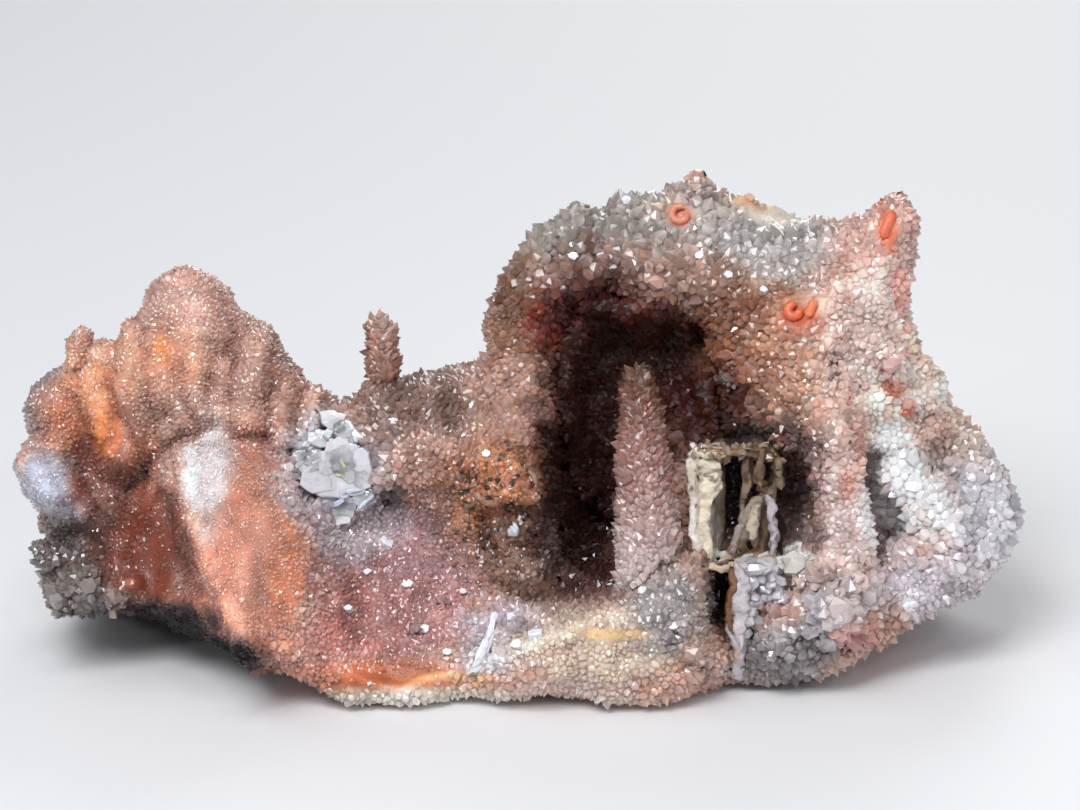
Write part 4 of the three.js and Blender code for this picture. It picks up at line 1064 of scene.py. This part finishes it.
crystals = []
for u, v, sunk, *towards, radius, length in SINGLES:
    at = from_face([u, v, surface_w(u, v) - sunk])
    colour = 0.6 * tint(at[None], W[None])[0] + 0.25 * linear((216, 208, 212))
    axis = unit(np.array(towards) @ np.array([U, V, W]))
    side = unit(np.cross(axis, V))
    other = np.cross(axis, side)
    grown = [(at, axis, radius, length)]
    for turn in rng.uniform(0, 2 * math.pi, 11):
        away = side * math.cos(turn) + other * math.sin(turn)
        share, reach = rng.uniform(0.25, 0.6), rng.uniform(0.5, 1.25)
        leaned = unit(axis + 0.55 * reach * away + 0.2 * rng.standard_normal(3))
        rise = length * rng.uniform(0.75, 1.05) - 0.35 * radius * reach
        grown.append((at + away * radius * reach, leaned, radius * share, rise))
    for one in grown:
        crystals.append(long_crystal(*one, colour * np.exp(0.1 * rng.standard_normal()), rng))
joined_piece("single_crystals", crystals, clear, smooth=False)

# %% [markdown]
# ## The hollow cast
# A crystal once stood here. Chalcedony coated it, the crystal dissolved, and its thin, broken
# walls remain. The straight plates of the solid are wrapped in a fine skin and then bent and
# frayed by noise that moves whole walls together, so they stay thin.

# %% Bending and fraying the walls
points, cast_quads = fine_skin(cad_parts["crystal_cast"], 0.3, 3)
points = points + 0.9 * noise_vectors(points, 6.0, 91) + 0.4 * noise_vectors(points, 2.0, 94)
points += 0.16 * noise_vectors(points, 0.7, 97)
points[:, 2] = np.maximum(points[:, 2], 0.2)
normals = vertex_normals(points, cast_quads)

# %% Colouring them
u, v, w = to_face(points).T
rough = 1.3 * smooth_noise(points, 1.5, 102)
# Painted shade: the cast is painted dark where it lies deep, and its slot nearly black.
painted_shade_from = np.where(u < 30.6, 0.6, 5.5)  # where the dark inside of the cast begins
painted_slot_shade = smoothstep(31.3, 30.7, u) * smoothstep(27.4, 28.4, u)
painted_slot_shade *= smoothstep(-19.2, -20.2, v) * smoothstep(-27, -25.6, v)
spotted = smoothstep(0.3, 0.5, smooth_noise(points, 0.9, 104)) * smoothstep(-12, -8, v + rough)
colour = np.array([222.0, 210, 194]) + 16 * smooth_noise(points, 1.6, 101)[:, None]
for weight, shade in (
    # the brown posts on the right, the grey foot, the white left wall, stains, spots, and painted shade
    # in the dark hollows and the slot
    (smoothstep(31, 32.5, u + rough) * smoothstep(-18, -16.5, v), (128, 106, 90)),
    (smoothstep(30, 31.5, u + rough) * smoothstep(-3.2, -2.2, v + 0.4 * rough), (84, 60, 44)),
    (smoothstep(-17, -18.5, v + 0.5 * rough) * 0.9, (188, 180, 190)),
    (smoothstep(-7.5, -9, v + rough) * smoothstep(31, 30, u) * 0.8, (246, 242, 236)),
    (smoothstep(0.25, 0.5, smooth_noise(points, 3.1, 103)) * 0.5, (186, 146, 98)),
    (0.85 * spotted, (82, 60, 46)),
    (smoothstep(painted_shade_from, painted_shade_from - 3, w + rough) * 0.92, (40, 31, 28)),
    (painted_slot_shade, (24, 19, 18)),
):
    colour = laid_over(colour, weight, shade)
colour = linear(np.clip(colour, 2, 250))
cast = new_piece("cast_walls", points, cast_quads, cast_stone, colour)
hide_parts("crystal_cast")

# %% [markdown]
# ## The cast's blades and drips
# Broken edges, blades and drips of chalcedony cling to the walls. None of them is straight, so
# each is a strip swept along a path, flattened, and made uneven by the same kind of noise as the
# walls.

# %% Where they run
# Each has half a thickness, a colour, and a path of places with a half width at each.
BLADES = [
    (0.45, (228, 216, 194), [
        (27.4, -2.4, 8.0, 1.9), (27.9, -5, 7.6, 2.1), (27.8, -7.4, 7.2, 1.9), (27.1, -9.4, 7.2, 1.3),
        (27.0, -13, 7.2, 1.3), (27.2, -17.6, 7.2, 1.5),
    ]),
    (0.9, (146, 130, 116), [
        (35.3, -8.2, 8.0, 0.5), (34.6, -9.6, 8.2, 1.1), (33.8, -12, 8.4, 1.5),
        (32.8, -14.5, 8.2, 1.4), (31.3, -16.6, 7.8, 0.7),
    ]),
    (0.8, (182, 168, 150), [
        (34.7, -9.4, 9.0, 0.5), (34.4, -12, 9.4, 0.8), (33.9, -15, 9.2, 0.6),
    ]),
    (0.5, (150, 136, 130), [
        (32.6, -12.6, 8.8, 0.4), (31.8, -15, 9.0, 0.5), (31.0, -17, 9.0, 0.4),
    ]),
    (0.9, (174, 166, 170), [
        (36.2, -7.8, 8.0, 0.4), (37.3, -10.5, 8.6, 0.7), (37.6, -14, 9.0, 0.5), (37.2, -19, 9.6, 0.6),
    ]),
    (0.9, (118, 92, 70), [
        (35.9, -1.4, 9.0, 0.4), (35.6, -3.5, 9.2, 0.7), (35.2, -6, 8.8, 0.5), (36.0, -8, 8.4, 0.3),
    ]),
    (0.5, (204, 188, 170), [
        (29.4, -2.4, 9.4, 0.3), (31.2, -1.9, 9.2, 0.3), (33.8, -1.5, 9.0, 0.3),
    ]),
    (0.7, (198, 190, 193), [
        (31.9, -18.4, 14.0, 0.8), (32.7, -21, 14.2, 1.2), (32.5, -25, 14.0, 1.2),
        (32.1, -28, 13.6, 0.9), (32.4, -30.4, 13.0, 0.5),
    ]),
    (0.8, (118, 78, 46), [
        (31.0, -18.8, 13.6, 0.4), (31.2, -21.5, 14.0, 0.5), (30.8, -25, 13.8, 0.5),
        (30.7, -28, 13.2, 0.3),
    ]),
    (0.7, (186, 170, 182), [
        (26.9, -19, 12.6, 0.6), (26.8, -21.5, 12.8, 0.8), (27.2, -24, 12.4, 0.5),
    ]),
    (0.8, (126, 114, 110), [
        (26.8, -18.0, 11.0, 0.8), (29, -18.4, 11.6, 0.9), (31.2, -17.8, 12.4, 0.7),
    ]),
]

# %% Sweeping a strip along a path


def closed_strip(rows, columns):
    """Quads between the rows of a grid of points whose columns close on themselves."""
    i, k = np.meshgrid(np.arange(rows - 1), np.arange(columns), indexing="ij")
    here, there, after = i * columns, (i + 1) * columns, (k + 1) % columns
    quads = np.stack([here + k, there + k, there + after, here + after], axis=-1)
    return quads.reshape(-1, 4)


def blade(path, outward, sides=14, steps=44):
    """Vertices and quads of a flattish strip, tapered at its ends, along a path given in the face's own
    frame.
    """
    knots = np.linspace(0, 1, len(path))
    t = np.linspace(0, 1, steps)
    u, v, w, across = (np.interp(t, knots, values)[:, None] for values in zip(*path))
    taper = np.clip(np.sin(np.linspace(0.2, math.pi - 0.2, steps)) * 3, 0.3, 1)[:, None]
    around = np.arange(sides) * 2 * math.pi / sides
    wide, thick = np.cos(around)[None], np.sign(np.sin(around)) * np.abs(np.sin(around))[None] ** 0.5
    place = np.stack([u + wide * across * taper, v + 0 * wide, w + thick * outward * taper], axis=2)
    return from_face(place.reshape(-1, 3)), closed_strip(steps, sides)


# %% Making the blades
blades = []
for outward, shade, path in BLADES:
    place, strip = blade(path, outward)
    place = place + 0.45 * noise_vectors(place, 1.5, 131) + 0.32 * noise_vectors(place, 0.7, 134)
    mottle = 1 + 0.16 * smooth_noise(place, 1.1, 137) + 0.12 * smooth_noise(place, 0.5, 138)
    spotted = smoothstep(0.2, 0.42, smooth_noise(place, 0.75, 139))
    spotted *= 0.8 * smoothstep(-9, -7, to_face(place)[:, 1])
    own = linear(shade) * mottle[:, None]
    blades.append((place, strip, laid_over(own, spotted, linear((78, 56, 42)))))
joined_piece("cast_blades", blades, cast_stone)

# %% Small crystals along its edges
SLOTS["crystal_cast"] = "white_quartz"
place, normal, size = scatter((points, cast_quads, normals), rng, 0.7, 0.95, 7)
u, v, w = to_face(place).T
crowded = (v < -17.5) & (u > 33)
edge = (v > -2.5) | ((u > 34.5) & (v > -9)) | ((v < -16) & (u < 29))
use = (rng.random(len(place)) < np.where(crowded, 1.0, np.where(edge, 0.6, 0.01))) & (w > 4)
own = np.where(crowded[use, None], linear((206, 202, 208)), linear((150, 126, 104)))
axis = unit(normal[use] + 0.45 * rng.standard_normal((use.sum(), 3)))
larger = np.where(crowded[use], 1.25, 0.8)
vertices, faces = quartz_points(place[use], axis, size[use] * larger, rng, (0.1, 0.5))
colours = facet_colours(own, rng, clearing=0.3)
new_piece("cast_points", vertices, faces, glass_druse, colours, smooth=False)

# %% [markdown]
# ## Curls and broken shells
# Where a thin tube of chalcedony broke off, its ring is left on the druse, orange and glassy. In
# the rusty patch the rims of broken shells stand up as thin curved edges. Both are tubes along a
# curve, flattened for the shells.

# %% Tubes that follow the surface


def arc(u, v, radius, start, end, steps=26):
    """Places along an arc on the face, between two angles in degrees."""
    turns = np.radians(np.linspace(start, end, steps))
    return np.stack([u + radius * np.cos(turns), v + radius * np.sin(turns)], axis=1)


def tube(path, across, along_w, lift, rng, ragged=0.0, sides=10):
    """Vertices and quads of a tube along a path on the face, tapering at both ends."""
    n = len(path)
    rise = np.array([surface_w(u, v) for u, v in path])
    path = path + ragged * noise_vectors(np.column_stack([path, rise]), 1.6, 121)[:, :2]
    rise = np.convolve(np.pad(rise, 3, mode="edge"), np.ones(7) / 7, mode="valid") + lift
    step = unit(np.gradient(path, axis=0))
    outward = np.stack([step[:, 1], -step[:, 0]], axis=1)
    taper = np.clip(np.sin(np.linspace(0.12, math.pi - 0.12, n)) * 2.2, 0.25, 1)[:, None]
    around = np.arange(sides) * 2 * math.pi / sides
    wobble = 1 + 0.3 * ragged * rng.standard_normal((n, 1))
    off = np.cos(around)[None] * across * taper * wobble
    up = np.sin(around)[None] * along_w * taper * wobble
    flat = path[:, None] + outward[:, None] * off[..., None]
    place = np.concatenate([flat, (rise[:, None] + up)[..., None]], axis=2)
    return from_face(place.reshape(-1, 3)), closed_strip(n, sides)[:, [0, 3, 2, 1]]


def tubes(name, paths, rng, ragged=0.0):
    """One piece made of tubes, each given by its path, half width, half height, lift and colour."""
    parts = []
    for *shape, shade in paths:
        place, quads = tube(*shape, rng, ragged)
        mottle = 1 + 0.12 * smooth_noise(place, 0.8, 111)[:, None]
        parts.append((place, quads, linear(shade) * mottle))
    joined_piece(name, parts, chalcedony)


# %% The curls and the broken shells
CURL, SHELL = (222, 112, 74), (176, 142, 116)
tubes("orange_curls", [
    (arc(23.9, 33.8, 1.1, 40, 390), 0.55, 0.6, 0.4, (216, 140, 110)),
    (arc(40.6, 19.1, 0.85, 60, 400), 0.75, 0.8, 0.4, CURL),
    (np.linspace((42.5, 18.2), (43.6, 20.6), 14), 0.7, 0.8, 0.4, (228, 130, 84)),
    (np.linspace((53.6, 29.8), (55.4, 33.9), 14), 0.8, 0.6, 0.2, CURL),
], rng)
tubes("broken_shells", [
    (arc(-8.6, -4.6, 1.2, 190, 300, 14), 0.4, 0.5, 0.0, (140, 112, 94)),
    (np.linspace((-2.6, -1.0), (1.2, -1.1), 12), 0.22, 0.5, 0.2, SHELL),
    (np.linspace((-7.0, -8.6), (-2.4, -9.2), 12), 0.45, 0.4, -0.1, (160, 122, 100)),
    (np.linspace((1.2, -4.4), (3.0, -6.6), 10), 0.4, 0.4, 0.0, (140, 116, 98)),
    (np.linspace((-1.8, -13.7), (0.0, -13.4), 12), 0.8, 0.7, 0.3, (206, 206, 214)),
    (arc(-0.6, -12.3, 1.2, -40, 75, 12), 0.25, 0.6, 0.3, (212, 206, 198)),
    (arc(0.3, -17.8, 3.6, -100, -30, 12), 0.5, 0.4, -0.2, (112, 88, 70)),
    (arc(-6.2, -11.0, 1.6, 100, 220, 12), 0.4, 0.4, -0.1, (130, 104, 88)),
], rng, 0.7)

# %% [markdown]
# ## Floor, light and camera
# A pale floor and broad, soft, cool light from above and in front show the face. A weaker light
# behind lets the thin rims glow. The camera looks squarely at the open face from a little way
# above.

# %% Floor
floor_mat = bpy.data.materials.new("floor")
floor_mat.use_nodes = True
floor_paint = floor_mat.node_tree.nodes["Principled BSDF"].inputs
floor_paint["Base Color"].default_value = (0.82, 0.82, 0.83, 1)
floor_paint["Roughness"].default_value = 0.6
# It lies just below the specimen's cut base, so that no two faces share a place.
bpy.ops.mesh.primitive_plane_add(size=6, location=(0, 0, -0.2 * MM))
floor = bpy.context.object
floor.name = "floor"
floor.data.materials.append(floor_mat)

# %% Light
world = bpy.data.worlds.new("studio")
bpy.context.scene.world = world
world.use_nodes = True
sky = world.node_tree.nodes["Background"].inputs
sky["Color"].default_value, sky["Strength"].default_value = (0.88, 0.92, 1.0, 1), 0.25
MIDDLE = Vector((0, 0, 0.03))


def area_light(name, where, size, power, colour=(1.0, 1.0, 1.0)):
    """A round, soft light that looks at the middle of the specimen."""
    data = bpy.data.lights.new(name, "AREA")
    data.shape, data.size, data.energy, data.color = "DISK", size, power, colour
    lamp = bpy.data.objects.new(name, data)
    lamp.location = where
    lamp.rotation_euler = (MIDDLE - Vector(where)).to_track_quat("-Z", "Y").to_euler()
    bpy.context.scene.collection.objects.link(lamp)


area_light("window", (-0.2, -0.42, 0.62), 0.42, 3.9, (0.97, 0.98, 1.0))
area_light("sky", (-0.5, 0.0, 0.7), 0.6, 1.0, (0.86, 0.92, 1.0))
area_light("fill", (0.6, -0.5, 0.3), 0.5, 1.3, (1.0, 0.96, 0.92))
area_light("rim", (0.15, 0.6, 0.4), 0.4, 1.4)
for k, spot in enumerate([(-0.55, -0.5, 0.35), (0.3, -0.6, 0.6), (0.05, -0.35, 0.8)]):
    area_light("glint_" + str(k), spot, 0.07, 0.4)  # small lights that facets can flash in

# %% Camera
CAMERA_AWAY, VIEW_WIDTH, SENSOR = 700, 161.2, 36  # mm
target = from_face([3.0, 5.1, 0.0])
camera_data = bpy.data.cameras.new("camera")
camera_data.sensor_width = SENSOR
camera_data.lens = SENSOR * CAMERA_AWAY / VIEW_WIDTH
camera = bpy.data.objects.new("camera", camera_data)
camera.location = (target + CAMERA_AWAY * W) * MM
camera.rotation_euler = (math.radians(90) - FACE_LEAN, 0, 0)
camera_data.clip_start = 0.05
bpy.context.scene.collection.objects.link(camera)
bpy.context.scene.camera = camera
bpy.context.scene.view_settings.view_transform = "Standard"
